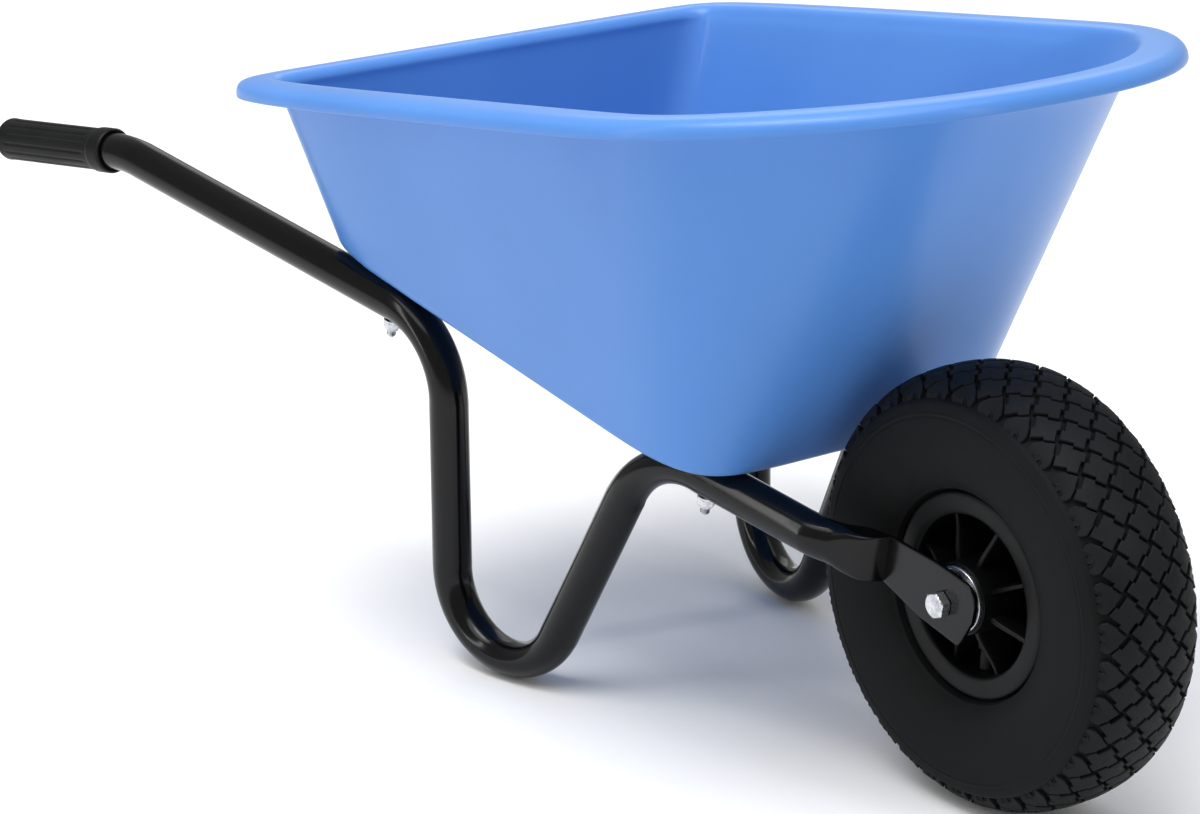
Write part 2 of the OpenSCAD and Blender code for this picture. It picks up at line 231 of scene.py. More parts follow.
def make_piece(name: str, patches: Sequence[Patch], finish: "Finish", body: Body,
               replaces: Sequence[str] = (), sharp: float = 38.0) -> bpy.types.Object:
    """Makes one object out of patches, dresses it and ties it to its body.

    Args:
        name: Name of the piece.
        patches: Surfaces that together close the piece.
        finish: Finish that dresses it.
        body: Body that it moves with.
        replaces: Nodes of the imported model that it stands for.
        sharp: Angle between faces, in degrees, past which an edge is crisp.

    Returns:
        The object.
    """
    points = np.vstack([patch.points for patch in patches])
    starts = np.cumsum([0] + [len(patch.points) for patch in patches[:-1]])
    groups = [faces + start for patch, start in zip(patches, starts) for faces in patch.faces]
    sizes = np.concatenate([np.full(len(faces), faces.shape[1]) for faces in groups])
    corners = np.concatenate([faces.ravel() for faces in groups])
    mesh = bpy.data.meshes.new(name)
    mesh.vertices.add(len(points))
    mesh.vertices.foreach_set("co", points.astype(np.float32).ravel())
    mesh.loops.add(len(corners))
    mesh.loops.foreach_set("vertex_index", corners.astype(np.int32))
    mesh.polygons.add(len(sizes))
    mesh.polygons.foreach_set("loop_start", np.concatenate([[0], np.cumsum(sizes)[:-1]]).astype(np.int32))
    mesh.update(calc_edges=True)
    mesh.validate()
    built = bmesh.new()
    built.from_mesh(mesh)
    bmesh.ops.remove_doubles(built, verts=built.verts, dist=1e-6)
    bmesh.ops.recalc_face_normals(built, faces=built.faces)
    built.to_mesh(mesh)
    built.free()
    mesh.polygons.foreach_set("use_smooth", np.ones(len(mesh.polygons), bool))
    mesh.set_sharp_from_angle(angle=math.radians(sharp))
    mesh.materials.append(finish.material())
    piece = put(name, mesh)
    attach(piece, body.value)
    if replaces:
        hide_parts(*replaces)
    LOG.info("%s: %d faces on %s, stands for %s", name, len(mesh.polygons), body.value,
             ", ".join(replaces) or "nothing")
    return piece


def turned(profile: Array, origin: Array, axis: Array, steps: int,
           shape: Callable[[Array, Array, Array], Array] | None = None) -> Patch:
    """Turns a profile about an axis, as on a lathe.

    A point is the origin, plus the axis times the profile's height, plus the spoke at the angle times the
    profile's radius. shape may change that radius as a function of radius, height and angle.

    Args:
        profile: Rows of (radius, height), from one end to the other.
        origin: Point on the axis at height zero.
        axis: Direction of the axis.
        steps: Steps round the axis.
        shape: Optional change to the radius.

    Returns:
        The turned surface; a profile that starts and ends on the axis closes it.
    """
    w, u, v = upright_frame(axis)
    angle = np.arange(steps) * TAU / steps
    radius, height = np.asarray(profile, float).T
    radius = np.repeat(radius[:, None], steps, axis=1)
    if shape is not None:
        radius = shape(radius, height[:, None], angle[None, :])
    spoke = np.cos(angle)[:, None] * u + np.sin(angle)[:, None] * v
    points = origin + height[:, None, None] * w + radius[..., None] * spoke
    return Patch.grid(points)


def hexagon(across: float, chamfer: float, low: float, high: float,
            turn: float = 0.0) -> Callable[..., Array]:
    """Shape of a hexagon for turned().

    The radius is the flat's distance over the cosine of the angle from the nearest flat's middle, held
    inside a cone that cuts the corners by the chamfer at both ends.

    Args:
        across: Width across the flats.
        chamfer: Height of the chamfer at the corners.
        low: Height of the lower face.
        high: Height of the upper face.
        turn: Angle by which the hexagon is turned back.

    Returns:
        A function of radius, height and angle.
    """
    sector = TAU / 6
    half = across / 2
    slope = 1.9
    overhang = across * 0.0775
    start = overhang - chamfer * slope

    def shape(radius: Array, height: Array, angle: Array) -> Array:
        """Radius of the chamfered hexagon, never more than the profile's share of it.

        Args:
            radius: Radius of the profile.
            height: Height along the axis.
            angle: Angle about the axis.

        Returns:
            The radius of the surface.
        """
        off = (angle + turn + sector / 2) % sector - sector / 2
        depth = np.minimum(height - low, high - height)
        cone = half + np.maximum(depth, 0) * slope + start
        full = np.minimum(half / np.cos(off), np.maximum(cone, half * 0.97))
        return np.where(radius >= half, full, np.minimum(radius, full))

    return shape


def threaded(pitch: float, depth: float) -> Callable[..., Array]:
    """Shape of a screw thread for turned().

    The radius falls by the depth times a triangle wave of height over pitch less angle over a turn.

    Args:
        pitch: Height from one turn to the next.
        depth: Depth of the thread.

    Returns:
        A function of radius, height and angle.
    """

    def shape(radius: Array, height: Array, angle: Array) -> Array:
        """Radius with the thread cut in."""
        phase = (height / pitch - angle / TAU) % 1.0
        return radius - depth * np.abs(2 * phase - 1) * (radius > 3 * depth)

    return shape


# ---------- shader maths ----------

Value = Any


class Signal:
    """An output socket that takes part in Python arithmetic, each operator adding a Math node."""

    def __init__(self, graph: "Graph", socket: bpy.types.NodeSocket) -> None:
        """Wraps a socket of a graph."""
        self.graph = graph
        self.socket = socket

    def _math(self, operation: str, a: Value, b: Value) -> "Signal":
        """Adds one Math node on two values."""
        node = self.graph.node("ShaderNodeMath", {"operation": operation}, {0: a, 1: b})
        return Signal(self.graph, node.outputs[0])

    def __add__(self, other: Value) -> "Signal":
        """Sum."""
        return self._math("ADD", self, other)

    def __radd__(self, other: Value) -> "Signal":
        """Sum, reflected."""
        return self._math("ADD", other, self)

    def __sub__(self, other: Value) -> "Signal":
        """Difference."""
        return self._math("SUBTRACT", self, other)

    def __rsub__(self, other: Value) -> "Signal":
        """Difference, reflected."""
        return self._math("SUBTRACT", other, self)

    def __mul__(self, other: Value) -> "Signal":
        """Product."""
        return self._math("MULTIPLY", self, other)

    def __rmul__(self, other: Value) -> "Signal":
        """Product, reflected."""
        return self._math("MULTIPLY", other, self)

    def step(self, low: float, high: float) -> "Signal":
        """Smooth step of the signal between two values.

        Args:
            low: Value that gives 0.
            high: Value that gives 1.

        Returns:
            The step, between 0 and 1.
        """
        node = self.graph.node("ShaderNodeMapRange", {"interpolation_type": "SMOOTHSTEP"},
                               {"Value": self, "From Min": low, "From Max": high})
        return Signal(self.graph, node.outputs[0])


class Graph:
    """A material's node tree around one Principled shader."""

    def __init__(self, name: str) -> None:
        """Starts a material with a Principled shader on its output.

        Args:
            name: Name of the material.
        """
        self.material = bpy.data.materials.new(name)
        self.material.use_nodes = True
        self.tree = self.material.node_tree
        self.tree.nodes.clear()
        self.shader = self.node("ShaderNodeBsdfPrincipled", {}, {})
        self.node("ShaderNodeOutputMaterial", {}, {"Surface": self.shader.outputs[0]})
        self.place = self.node("ShaderNodeTexCoord", {}, {}).outputs["Object"]

    def node(self, kind: str, settings: dict[str, Any], sockets: dict[Any, Value]) -> bpy.types.Node:
        """Adds a node.

        Args:
            kind: The node's type.
            settings: Its own settings, set first; "stops" gives a colour ramp's (place, colour) pairs.
            sockets: Values or links of its inputs, by name or number.

        Returns:
            The node.
        """
        node = self.tree.nodes.new(kind)
        for key, value in settings.items():
            if key == "stops":
                for stop, (place, colour) in zip(self._stops(node, len(value)), value):
                    stop.position, stop.color = place, colour
            else:
                setattr(node, key, value)
        for key, value in sockets.items():
            value = value.socket if isinstance(value, Signal) else value
            if isinstance(value, bpy.types.NodeSocket):
                self.tree.links.new(value, node.inputs[key])
            else:
                node.inputs[key].default_value = value
        return node

    @staticmethod
    def _stops(node: bpy.types.Node, count: int) -> Any:
        """Gives a colour ramp the wanted number of stops.

        Args:
            node: The colour ramp.
            count: Wanted number of stops.

        Returns:
            The stops.
        """
        elements = node.color_ramp.elements
        while len(elements) < count:
            elements.new(0.5)
        return elements

    def noise(self, size: float, detail: float = 3.0, stretch: Sequence[float] = (1, 1, 1),
              roughness: float = 0.5) -> Signal:
        """Noise on Object coordinates.

        Args:
            size: Size of its largest features, in metres.
            detail: Octaves of finer noise.
            stretch: Factors on the coordinates along X, Y and Z; a small one draws the noise out.
            roughness: Share of each finer octave.

        Returns:
            The noise, between 0 and 1.
        """
        mapped = self.node("ShaderNodeMapping", {}, {"Vector": self.place, "Scale": tuple(stretch)})
        node = self.node("ShaderNodeTexNoise", {}, {
            "Vector": mapped.outputs[0], "Scale": 1 / size, "Detail": detail, "Roughness": roughness})
        return Signal(self, node.outputs["Fac"])

    def specks(self, size: float, edge: float = 0.2) -> Signal:
        """Round specks of a Voronoi pattern: 1 in a speck's middle, 0 past the edge."""
        node = self.node("ShaderNodeTexVoronoi", {}, {"Vector": self.place, "Scale": 1 / size})
        return 1 - Signal(self, node.outputs["Distance"]).step(0.0, edge)

    def blend(self, share: Value, low: Sequence[float], high: Sequence[float]) -> bpy.types.NodeSocket:
        """Mixes two colours by a share.

        Args:
            share: Share of the second colour.
            low: First colour.
            high: Second colour.

        Returns:
            The mixed colour.
        """
        node = self.node("ShaderNodeMix", {"data_type": "RGBA"}, {
            0: share, 6: (*low, 1.0), 7: (*high, 1.0)})
        return node.outputs[2]

    def bump(self, height: Value, depth: float, under: Value | None = None) -> bpy.types.NodeSocket:
        """Bends the normal by a height.

        Args:
            height: Height, between 0 and 1.
            depth: Real depth of a height of 1, in metres.
            under: Normal of a coarser bump beneath it.

        Returns:
            The bent normal.
        """
        sockets = {"Height": height, "Distance": depth, "Strength": 1.0}
        if under is not None:
            sockets["Normal"] = under
        return self.node("ShaderNodeBump", {}, sockets).outputs[0]

    def dress(self, **sockets: Value) -> bpy.types.Material:
        """Sets the shader's inputs, with underscores for the spaces in their names.

        Args:
            **sockets: Values or links of the inputs.

        Returns:
            The material.
        """
        for key, value in sockets.items():
            value = value.socket if isinstance(value, Signal) else value
            target = self.shader.inputs[key.replace("_", " ")]
            if isinstance(value, bpy.types.NodeSocket):
                self.tree.links.new(value, target)
            else:
                target.default_value = value
        return self.material


# ---------- finishes ----------


@dataclass(frozen=True)
class Finish:
    """A finish and the record's material slot that it belongs to."""

    name: str
    slot: str

    @lru_cache(maxsize=None)
    def material(self) -> bpy.types.Material:
        """The finish's material, made once."""
        return self.build(Graph(self.name))

    def build(self, graph: Graph) -> bpy.types.Material:
        """Fills a graph with the finish; each kind of finish has its own."""
        raise NotImplementedError


@dataclass(frozen=True)
class TubPlastic(Finish):
    """Glossy moulded polyethylene with flow marks, a fine orange peel and hair scratches."""

    colour: tuple[float, float, float] = (0.075, 0.212, 0.545)
    pale: tuple[float, float, float] = (0.083, 0.228, 0.570)

    def build(self, graph: Graph) -> bpy.types.Material:
        """Cloudy colour, uneven gloss and shallow peel.

        Args:
            graph: The graph of this finish.

        Returns:
            The material.
        """
        cloud = graph.noise(0.16, 2.0, (1, 1, 0.45))
        peel = graph.noise(0.0035, 2.0)
        scratch = graph.noise(0.02, 5.0, (0.05, 1, 1.6), 0.7).step(0.66, 0.72)
        wave = graph.noise(0.06, 1.0)
        soft = graph.bump(wave, 0.00025)
        return graph.dress(
            Base_Color=graph.blend(cloud.step(0.35, 0.65), self.colour, self.pale),
            Roughness=0.27 + 0.10 * cloud + 0.10 * scratch,
            Normal=graph.bump(peel - 0.4 * scratch, 0.00001, soft),
            Specular_IOR_Level=0.20,
            Coat_Weight=0.08,
            Coat_Roughness=0.10,
            Subsurface_Weight=0.12,
            Subsurface_Scale=0.006,
            Subsurface_Radius=(0.6, 0.9, 1.4))


@dataclass(frozen=True)
class PowderCoat(Finish):
    """Black stoved powder coat on tube: hard gloss over a faint orange peel, with settled dust."""

    colour: tuple[float, float, float] = (0.0018, 0.0018, 0.0022)
    dust: tuple[float, float, float] = (0.0045, 0.0045, 0.0050)

    def build(self, graph: Graph) -> bpy.types.Material:
        """Peel in the gloss and a little dust in the colour.

        Args:
            graph: The graph of this finish.

        Returns:
            The material.
        """
        peel = graph.noise(0.0028, 2.0)
        dust = graph.noise(0.05, 6.0, roughness=0.7).step(0.55, 0.8)
        return graph.dress(
            Base_Color=graph.blend(dust, self.colour, self.dust),
            Roughness=0.16 + 0.12 * dust,
            Normal=graph.bump(peel, 0.000008),
            Specular_IOR_Level=0.24)


@dataclass(frozen=True)
class BlackPlastic(Finish):
    """Black moulded plastic or rubber: satin, with a spark-eroded grain."""

    colour: tuple[float, float, float] = (0.011, 0.0115, 0.0125)
    worn: tuple[float, float, float] = (0.020, 0.021, 0.022)
    gloss: float = 0.42
    grain: float = 0.0007
    depth: float = 0.00002
    shine: float = 0.16

    def build(self, graph: Graph) -> bpy.types.Material:
        """Grain in the normal and slow cloud in colour and gloss.

        Args:
            graph: The graph of this finish.

        Returns:
            The material.
        """
        grain = graph.noise(self.grain, 3.0)
        cloud = graph.noise(0.03, 4.0).step(0.3, 0.75)
        return graph.dress(
            Base_Color=graph.blend(cloud, self.colour, self.worn),
            Roughness=self.gloss + 0.12 * cloud + 0.05 * grain,
            Normal=graph.bump(grain, self.depth),
            Specular_IOR_Level=self.shine)


@dataclass(frozen=True)
class TyreRubber(Finish):
    """Matt tyre rubber with bloom, mould grain and fine pits."""

    colour: tuple[float, float, float] = (0.0028, 0.0032, 0.0034)
    bloom: tuple[float, float, float] = (0.0062, 0.0068, 0.0072)
    gloss: float = 0.62

    def build(self, graph: Graph) -> bpy.types.Material:
        """Bloom in the colour, grain and pits in the normal.

        Args:
            graph: The graph of this finish.

        Returns:
            The material.
        """
        bloom = graph.noise(0.045, 5.0, roughness=0.65).step(0.32, 0.72)
        grain = graph.noise(0.0009, 3.0)
        pits = graph.specks(0.004, 0.12)
        return graph.dress(
            Base_Color=graph.blend(bloom, self.colour, self.bloom),
            Roughness=self.gloss + 0.14 * bloom,
            Normal=graph.bump(grain - 0.5 * pits, 0.00004),
            Specular_IOR_Level=0.12)


@dataclass(frozen=True)
class ZincPlate(Finish):
    """Bright zinc plate over turned steel: cloudy gloss, fine turning lines and dull spots."""

    colour: tuple[float, float, float] = (0.60, 0.61, 0.63)
    dull: tuple[float, float, float] = (0.42, 0.43, 0.45)
    gloss: float = 0.24

    def build(self, graph: Graph) -> bpy.types.Material:
        """Cloud in colour and gloss, with a very shallow grain.

        Args:
            graph: The graph of this finish.

        Returns:
            The material.
        """
        cloud = graph.noise(0.003, 4.0).step(0.35, 0.75)
        spots = graph.specks(0.0022, 0.25)
        grain = graph.noise(0.0004, 2.0, (1, 0.2, 1))
        return graph.dress(
            Base_Color=graph.blend(cloud, self.colour, self.dull),
            Metallic=1.0,
            Roughness=self.gloss + 0.16 * cloud + 0.06 * spots,
            Normal=graph.bump(grain, 0.000006))


@dataclass(frozen=True)
class NutInsert(Finish):
    """Milky nylon ring of a locking nut."""

    def build(self, graph: Graph) -> bpy.types.Material:
        """Slightly translucent white with a soft cloud.

        Args:
            graph: The graph of this finish.

        Returns:
            The material.
        """
        cloud = graph.noise(0.002, 2.0)
        return graph.dress(
            Base_Color=graph.blend(cloud, (0.62, 0.64, 0.66), (0.74, 0.75, 0.77)),
            Roughness=0.36 + 0.1 * cloud,
            Subsurface_Weight=0.2,
            Subsurface_Scale=0.001)


@dataclass(frozen=True)
class StudioPaper(Finish):
    """Pale seamless paper under and behind the barrow."""

    def build(self, graph: Graph) -> bpy.types.Material:
        """Faintly mottled near-white.

        Args:
            graph: The graph of this finish.

        Returns:
            The material.
        """
        mottle = graph.noise(0.4, 3.0)
        return graph.dress(
            Base_Color=graph.blend(mottle, (0.90, 0.90, 0.90), (0.93, 0.93, 0.93)),
            Roughness=0.85,
            Specular_IOR_Level=0.1)


TUB_PLASTIC = TubPlastic("moulded_blue_plastic", "tub_plastic")
FRAME_PAINT = PowderCoat("black_powder_coat", "frame_paint")
GRIP_PLASTIC = BlackPlastic("grip_rubber", "grip_plastic", (0.0036, 0.0038, 0.0042),
                            (0.0070, 0.0073, 0.0078), 0.42, 0.0006, 0.00003, 0.14)
RIM_PLASTIC = BlackPlastic("rim_plastic", "rim_plastic", (0.0015, 0.0017, 0.0018),
                           (0.0030, 0.0033, 0.0034), 0.34, 0.0008, 0.000015, 0.16)
# Tread blocks and shoulder lugs get a lighter rubber than the carcass. This is a painted highlight on the
# block tops, and the darker carcass between them is painted shade in the grooves.
TYRE_SIDE = TyreRubber("tyre_sidewall", "tyre_rubber")
TYRE_TREAD_PAINTED_LIGHT = TyreRubber("tyre_tread", "tyre_rubber", (0.0048, 0.0054, 0.0062),
                        (0.0092, 0.0100, 0.0112), 0.55)
TUBE_RUBBER = BlackPlastic("inner_tube_rubber", "tube_rubber", (0.010, 0.010, 0.010),
                           (0.018, 0.018, 0.018), 0.6)
ZINC = ZincPlate("bright_zinc", "zinc")
BEARING_STEEL = ZincPlate("ground_steel", "bearing_steel", (0.66, 0.67, 0.69), (0.52, 0.53, 0.55), 0.16)
NYLON = NutInsert("nut_insert_nylon", "zinc")
PAPER = StudioPaper("studio_paper", "none")


def dress_node(node: str, finish: Finish) -> None:
    """Gives a carried-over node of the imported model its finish.

    Args:
        node: Name of the node.
        finish: Finish that it gets.
    """
    piece = frame["nodes"][node]
    piece.data.materials.clear()
    piece.data.materials.append(finish.material())
    LOG.info("%s: kept, finished in %s", node, finish.name)


# ---------- tub ----------


@dataclass(frozen=True)
class Outline:
    """A squared oval in a tilted plane, rounder in front than behind.

    At parameter k, with e(v) = sign(v) |v|^(2/n) and n easing from front to rear, the point is
    (half_length e(cos k), (half_width - taper e(cos k)) e(sin k)). Set in, the rear power grows by the
    sharpening times the inset, so that a band between two outlines keeps its width round the corners.
    """

    centre: tuple[float, float, float]
    slope: float
    half_length: float
    half_width: float
    taper: float
    front: float
    rear: float
    sharpening: float = 0.0

    def flat(self, k: Array, inset: float = 0.0) -> Array:
        """Points in the outline's own plane, set in from the outline.

        Args:
            k: Parameters round the outline.
            inset: Distance in from the outline.

        Returns:
            Rows of (along, across).
        """
        rear = self.rear + self.sharpening * inset
        n = self.front + (rear - self.front) * ((1 - np.cos(k)) / 2) ** 2
        along, across = squared(np.cos(k), n), squared(np.sin(k), n)
        return np.stack([(self.half_length - inset) * along,
                         (self.half_width - inset - self.taper * along) * across], axis=-1)

    def ring(self, k: Array, inset: float, height: float) -> Array:
        """Points of the barrow's frame, set in and raised square to the outline's plane.

        Args:
            k: Parameters round the outline.
            inset: Distance in from the outline.
            height: Height above the outline's plane.

        Returns:
            Rows of (x, y, z).
        """
        x, y = self.flat(k, inset).T
        c, s = math.cos(self.slope), math.sin(self.slope)
        return np.asarray(self.centre) + np.stack([x * c + height * s, y, height * c - x * s], axis=-1)

    def samples(self) -> tuple[Array, Array, Array]:
        """Dense parameters with the way travelled and the direction faced at each.

        The parameters are crowded towards the axes, where a squared oval is flat: they give even steps
        along each side.

        Returns:
            Parameters, distances from the start, and angles of the outward normal.
        """
        w = np.linspace(0, 1, 400) ** (max(self.front, self.rear) / 2)
        quarter = np.unique(np.concatenate([np.arcsin(w), np.arccos(w)]))[:-1]
        k = np.concatenate([quarter + turn * math.pi / 2 for turn in range(4)] + [[TAU]])
        mirrored = np.sort(np.concatenate([math.pi - quarter, TAU - quarter]) % TAU)
        k = np.unique(np.concatenate([k, mirrored]))
        points = self.flat(k)
        step = np.linalg.norm(np.diff(points, axis=0), axis=1)
        keep = np.concatenate([[True], step > 1e-7])
        k, points = k[keep], points[keep]
        middle = (k[1:] + k[:-1]) / 2
        edge = np.diff(points, axis=0)
        facing = np.unwrap(np.arctan2(edge[:, 1], edge[:, 0])) - math.pi / 2
        way = np.concatenate([[0], np.cumsum(np.linalg.norm(edge, axis=1))])
        return middle, (way[1:] + way[:-1]) / 2, np.maximum.accumulate(facing)


@dataclass(frozen=True)
class Tub:
    """The moulded tub, one closed surface from the middle of its underside to the middle of its floor."""

    length: float = 578 * MM
    front: float = 44.5 * MM
    width: float = 413 * MM
    rim_height: float = 431 * MM
    rim_slope: float = math.radians(6.8)
    lip_width: float = 27 * MM
    wall: float = 3 * MM
    floor_length: float = 368 * MM
    floor_front: float = 133 * MM
    floor_half: float = 132.5 * MM
    run_slope: float = math.radians(12.5)
    run_lift: float = 2.5 * MM
    tube_radius: float = 12.5 * MM
    corner: float = 7 * MM
    stations: int = 256
    floor_shares: tuple[float, ...] = (0.0, 0.02, 0.3, 0.6, 0.9)
    wall_shares: tuple[float, ...] = (0.0, 0.04, 0.14, 0.3, 0.5, 0.7, 0.84, 0.91)
    floor_edge: float = 1.2
    corner_pull: float = 0.45

    @property
    def rim(self) -> Outline:
        """Outline of the rim, over the lip.

        Returns:
            The outline.
        """
        half, c, s = self.length / 2, math.cos(self.rim_slope), math.sin(self.rim_slope)
        centre = (AXLE[0] + self.front - half * c, 0.0, self.rim_height - half * s)
        return Outline(centre, -self.rim_slope, half, self.width / 2, taper=4 * MM,
                       front=2.4, rear=10, sharpening=7 / self.lip_width)

    @property
    def floor(self) -> Outline:
        """Outline of the floor's underside.

        Returns:
            The outline.
        """
        along = -(self.floor_front + self.floor_length / 2) / math.cos(self.run_slope)
        c, s = math.cos(self.run_slope), math.sin(self.run_slope)
        centre = (AXLE[0] + along * c + self.tube_radius * s, 0.0,
                  AXLE[2] + self.run_lift + self.tube_radius * c - along * s)
        return Outline(centre, self.run_slope, self.floor_length / 2, self.floor_half,
                       taper=11 * MM, front=7, rear=15)

    def matched(self) -> tuple[Array, Array]:
        """Parameters on the rim and the floor at which both face the same way.

        Stations are spread over the rim by distance and by turning in equal shares, so that flats and
        corners both get enough. A wall ruled between matched points is smooth.

        Returns:
            The parameters on the rim and on the floor.
        """
        k, way, facing = self.rim.samples()
        mix = way / way[-1] + (facing - facing[0]) / TAU
        target = (np.arange(self.stations) + 0.5) / self.stations * mix[-1]
        k_rim = np.interp(target, mix, k)
        faced = np.interp(target, mix, facing)
        k2, _, facing2 = self.floor.samples()
        facing2 = facing2 + np.arange(len(facing2)) * 1e-9
        k_floor = np.interp(faced, facing2, k2)
        return k_rim, k_floor

    def wall_side(self, inset: float, k_rim: Array, k_floor: Array) -> list[Array]:
        """Control rings of one face of the tub, from the floor's middle up to under the lip.

        Args:
            inset: Distance in from the outer face.
            k_rim: Parameters on the rim.
            k_floor: Parameters on the floor.

        Returns:
            The rings, floor first.
        """
        rim, floor, r = self.rim, self.floor, self.corner
        top = rim.ring(k_rim, self.lip_width + inset, 0.0)
        low = floor.ring(k_floor, inset, r)
        up = np.array([math.sin(self.run_slope), 0.0, math.cos(self.run_slope)])
        rise = ((top - low) @ up)[:, None]
        corner = low - (top - low) * (r - inset) / rise
        flat = floor.ring(k_floor, inset + self.floor_edge * r, inset)
        centre = flat.mean(axis=0)
        rings = [centre + (flat - centre) * share for share in self.floor_shares]
        rings.append(flat)
        rings += [corner + (end - corner) * self.corner_pull for end in (flat, low)]
        return rings + [low + (top - low) * share for share in self.wall_shares]

    def lip(self, k: Array) -> list[Array]:
        """Control rings of the rolled lip, from the outer wall over the top to the inner wall.

        Each pair is the distance in from the rim's edge and the depth below its top, in millimetres.

        Args:
            k: Parameters on the rim.

        Returns:
            The rings, from outside to inside.
        """
        section = ((27.6, 8.0), (27.0, 5.0), (25.0, 3.6), (16.0, 3.4), (9.0, 4.3), (4.6, 6.6), (3.2, 9.2),
                   (2.9, 11.0), (1.6, 11.6), (0.3, 11.2), (0.0, 9.8), (0.3, 7.0), (1.6, 4.2), (5.0, 1.6),
                   (11.0, 0.3), (19.0, -0.1), (25.5, 0.3), (29.3, 2.4), (31.2, 7.0))
        return [self.rim.ring(k, inset * MM, -depth * MM) for inset, depth in section]

    def build(self) -> None:
        """Makes the tub: control rings from outside to inside, joined by a B-spline across them."""
        k_rim, k_floor = self.matched()
        outer = self.wall_side(0.0, k_rim, k_floor)
        inner = self.wall_side(self.wall, k_rim, k_floor)
        controls = np.stack(outer + self.lip(k_rim) + inner[::-1])
        surface = spline(controls, 3)
        make_piece("tub_moulding", [Patch.grid(surface)], TUB_PLASTIC, Body.FRAME,
                   ["tub"], 60)


# ---------- frame tubes ----------


@dataclass(frozen=True)
class FrameTube:
    """One bent tube, from the grip down the run, round the leg and forward to the crushed fork end."""

    side: Side
    radius: float = 12.5 * MM
    slope: float = math.radians(12.5)
    lift: float = 2.5 * MM
    toe: float = math.radians(10)
    fork_half: float = 53.5 * MM
    leg_rear: float = 382.5 * MM
    foot_x: float = 334.5 * MM
    leg_front: float = 213 * MM
    foot_radius: float = 50 * MM
    knee_radius: float = 58 * MM
    grip_bend: float = 680 * MM
    grip_bend_radius: float = 100 * MM
    grip_reach: float = 123 * MM
    grip_drop: float = math.radians(4.5)
    plate_inner: float = 44.5 * MM
    plate_thick: float = 3 * MM
    crease: float = -50 * MM
    pinch: float = -92 * MM
    plate_rear: float = -52 * MM
    plate_tip: float = 25.2 * MM
    flattening: float = 0.10
    widening: float = 0.04
    early_fall: float = 0.45
    late_fall_power: int = 14
    ring_points: int = 48

    def on_run(self, x: float) -> Array:
        """Point of the straight run, in the tube's own plane, at a distance behind the axle."""
        return np.array([-x / math.cos(self.toe), AXLE[2] + self.lift + x * math.tan(self.slope)])

    def tangent(self, corner: Array, centre: Array, turn: int) -> Array:
        """Point where a line from the corner touches the foot's circle.

        Args:
            corner: The corner.
            centre: Middle of the foot's circle.
            turn: 1 or -1, for the one or the other line.

        Returns:
            The point.
        """
        away = corner - centre
        angle = math.atan2(away[1], away[0]) + turn * math.acos(self.foot_radius / np.linalg.norm(away))
        return centre + self.foot_radius * np.array([math.cos(angle), math.sin(angle)])

    def corners(self) -> tuple[list[Array], list[float]]:
        """Corners of the tube's centre line in its own plane, and the bend's radius at each inner one.

        Returns:
            The corners from the grip's end to the crushed end, and the radii.
        """
        rear, front = self.on_run(self.leg_rear), self.on_run(self.leg_front)
        centre = np.array([-self.foot_x / math.cos(self.toe), self.foot_radius + self.radius])
        a, b = self.tangent(rear, centre, 1), self.tangent(front, centre, -1)
        u, v = a - rear, b - front
        w = front - rear
        foot = rear + u * (w[0] * v[1] - w[1] * v[0]) / (u[0] * v[1] - u[1] * v[0])
        bend = self.on_run(self.grip_bend)
        end = bend - self.grip_reach * np.array([math.cos(self.grip_drop), math.sin(self.grip_drop)])
        return ([end, bend, rear, foot, front, self.on_run(-self.pinch)],
                [self.grip_bend_radius, self.knee_radius, self.foot_radius, self.knee_radius])

    def centre_line(self) -> tuple[Array, Array]:
        """Centre line of straights and arcs in the tube's plane.

        Each bend is an arc that touches both of its lines: it starts the radius times the tangent of half
        the turn before the corner, and its points turn evenly about its centre.

        Returns:
            Points in the plane, and at each one how hard the tube is bent, from 0 to 1.
        """
        corners, radii = self.corners()
        points, bent = [corners[0][None]], [np.zeros(1)]
        for before, corner, after, radius in zip(corners, corners[1:], corners[2:], radii):
            u, v = unit(corner - before), unit(after - corner)
            turn = math.atan2(u[0] * v[1] - u[1] * v[0], float(u @ v))
            start = corner - u * radius * math.tan(abs(turn) / 2)
            normal = np.array([-u[1], u[0]]) * math.copysign(1, turn)
            steps = max(8, int(abs(turn) * 26))
            t = np.linspace(0, 1, steps)
            a = t[:, None] * abs(turn)
            arc = start + radius * (np.sin(a) * u + (1 - np.cos(a)) * normal)
            last = points[-1][-1]
            straight = last + (start - last) * np.linspace(0.02, 0.98, 14)[:, None]
            hard = min(1.0, abs(turn) / 1.0) * np.sin(math.pi * t) ** 0.5
            points += [straight, arc]
            bent += [np.zeros(14), hard]
        last = points[-1][-1]
        points.append(last + (corners[-1] - last) * np.linspace(0.04, 1, 12)[:, None])
        bent.append(np.zeros(12))
        return np.vstack(points), np.concatenate(bent)

    def place(self, flat: Array) -> Array:
        """Carries points of the tube's plane into the barrow's frame.

        Args:
            flat: Points as (along, up).

        Returns:
            Points as (x, y, z).
        """
        along, up = flat[..., 0], flat[..., 1]
        return np.stack([AXLE[0] + along * math.cos(self.toe),
                         self.side.value * (self.fork_half - along * math.sin(self.toe)), up], axis=-1)

    def tube_rings(self, count: int) -> Array:
        """Rings of the round part: a circle that is flattened a little in the plane of each bend.

        Args:
            count: Points in each ring.

        Returns:
            The rings, from the grip's end forwards.
        """
        line, bent = self.centre_line()
        tangent = unit(np.gradient(line, axis=0))
        across = np.stack([-tangent[:, 1], tangent[:, 0]], axis=1)
        angle = np.arange(count) * TAU / count
        in_plane = self.radius * (1 - self.flattening * bent)[:, None] * np.sin(angle)
        sideways = self.radius * (1 + self.widening * bent)[:, None] * np.cos(angle)
        flat = line[:, None, :] + in_plane[..., None] * across[:, None, :]
        out = np.array([math.sin(self.toe), self.side.value * math.cos(self.toe), 0.0])
        return self.place(flat) + sideways[..., None] * out

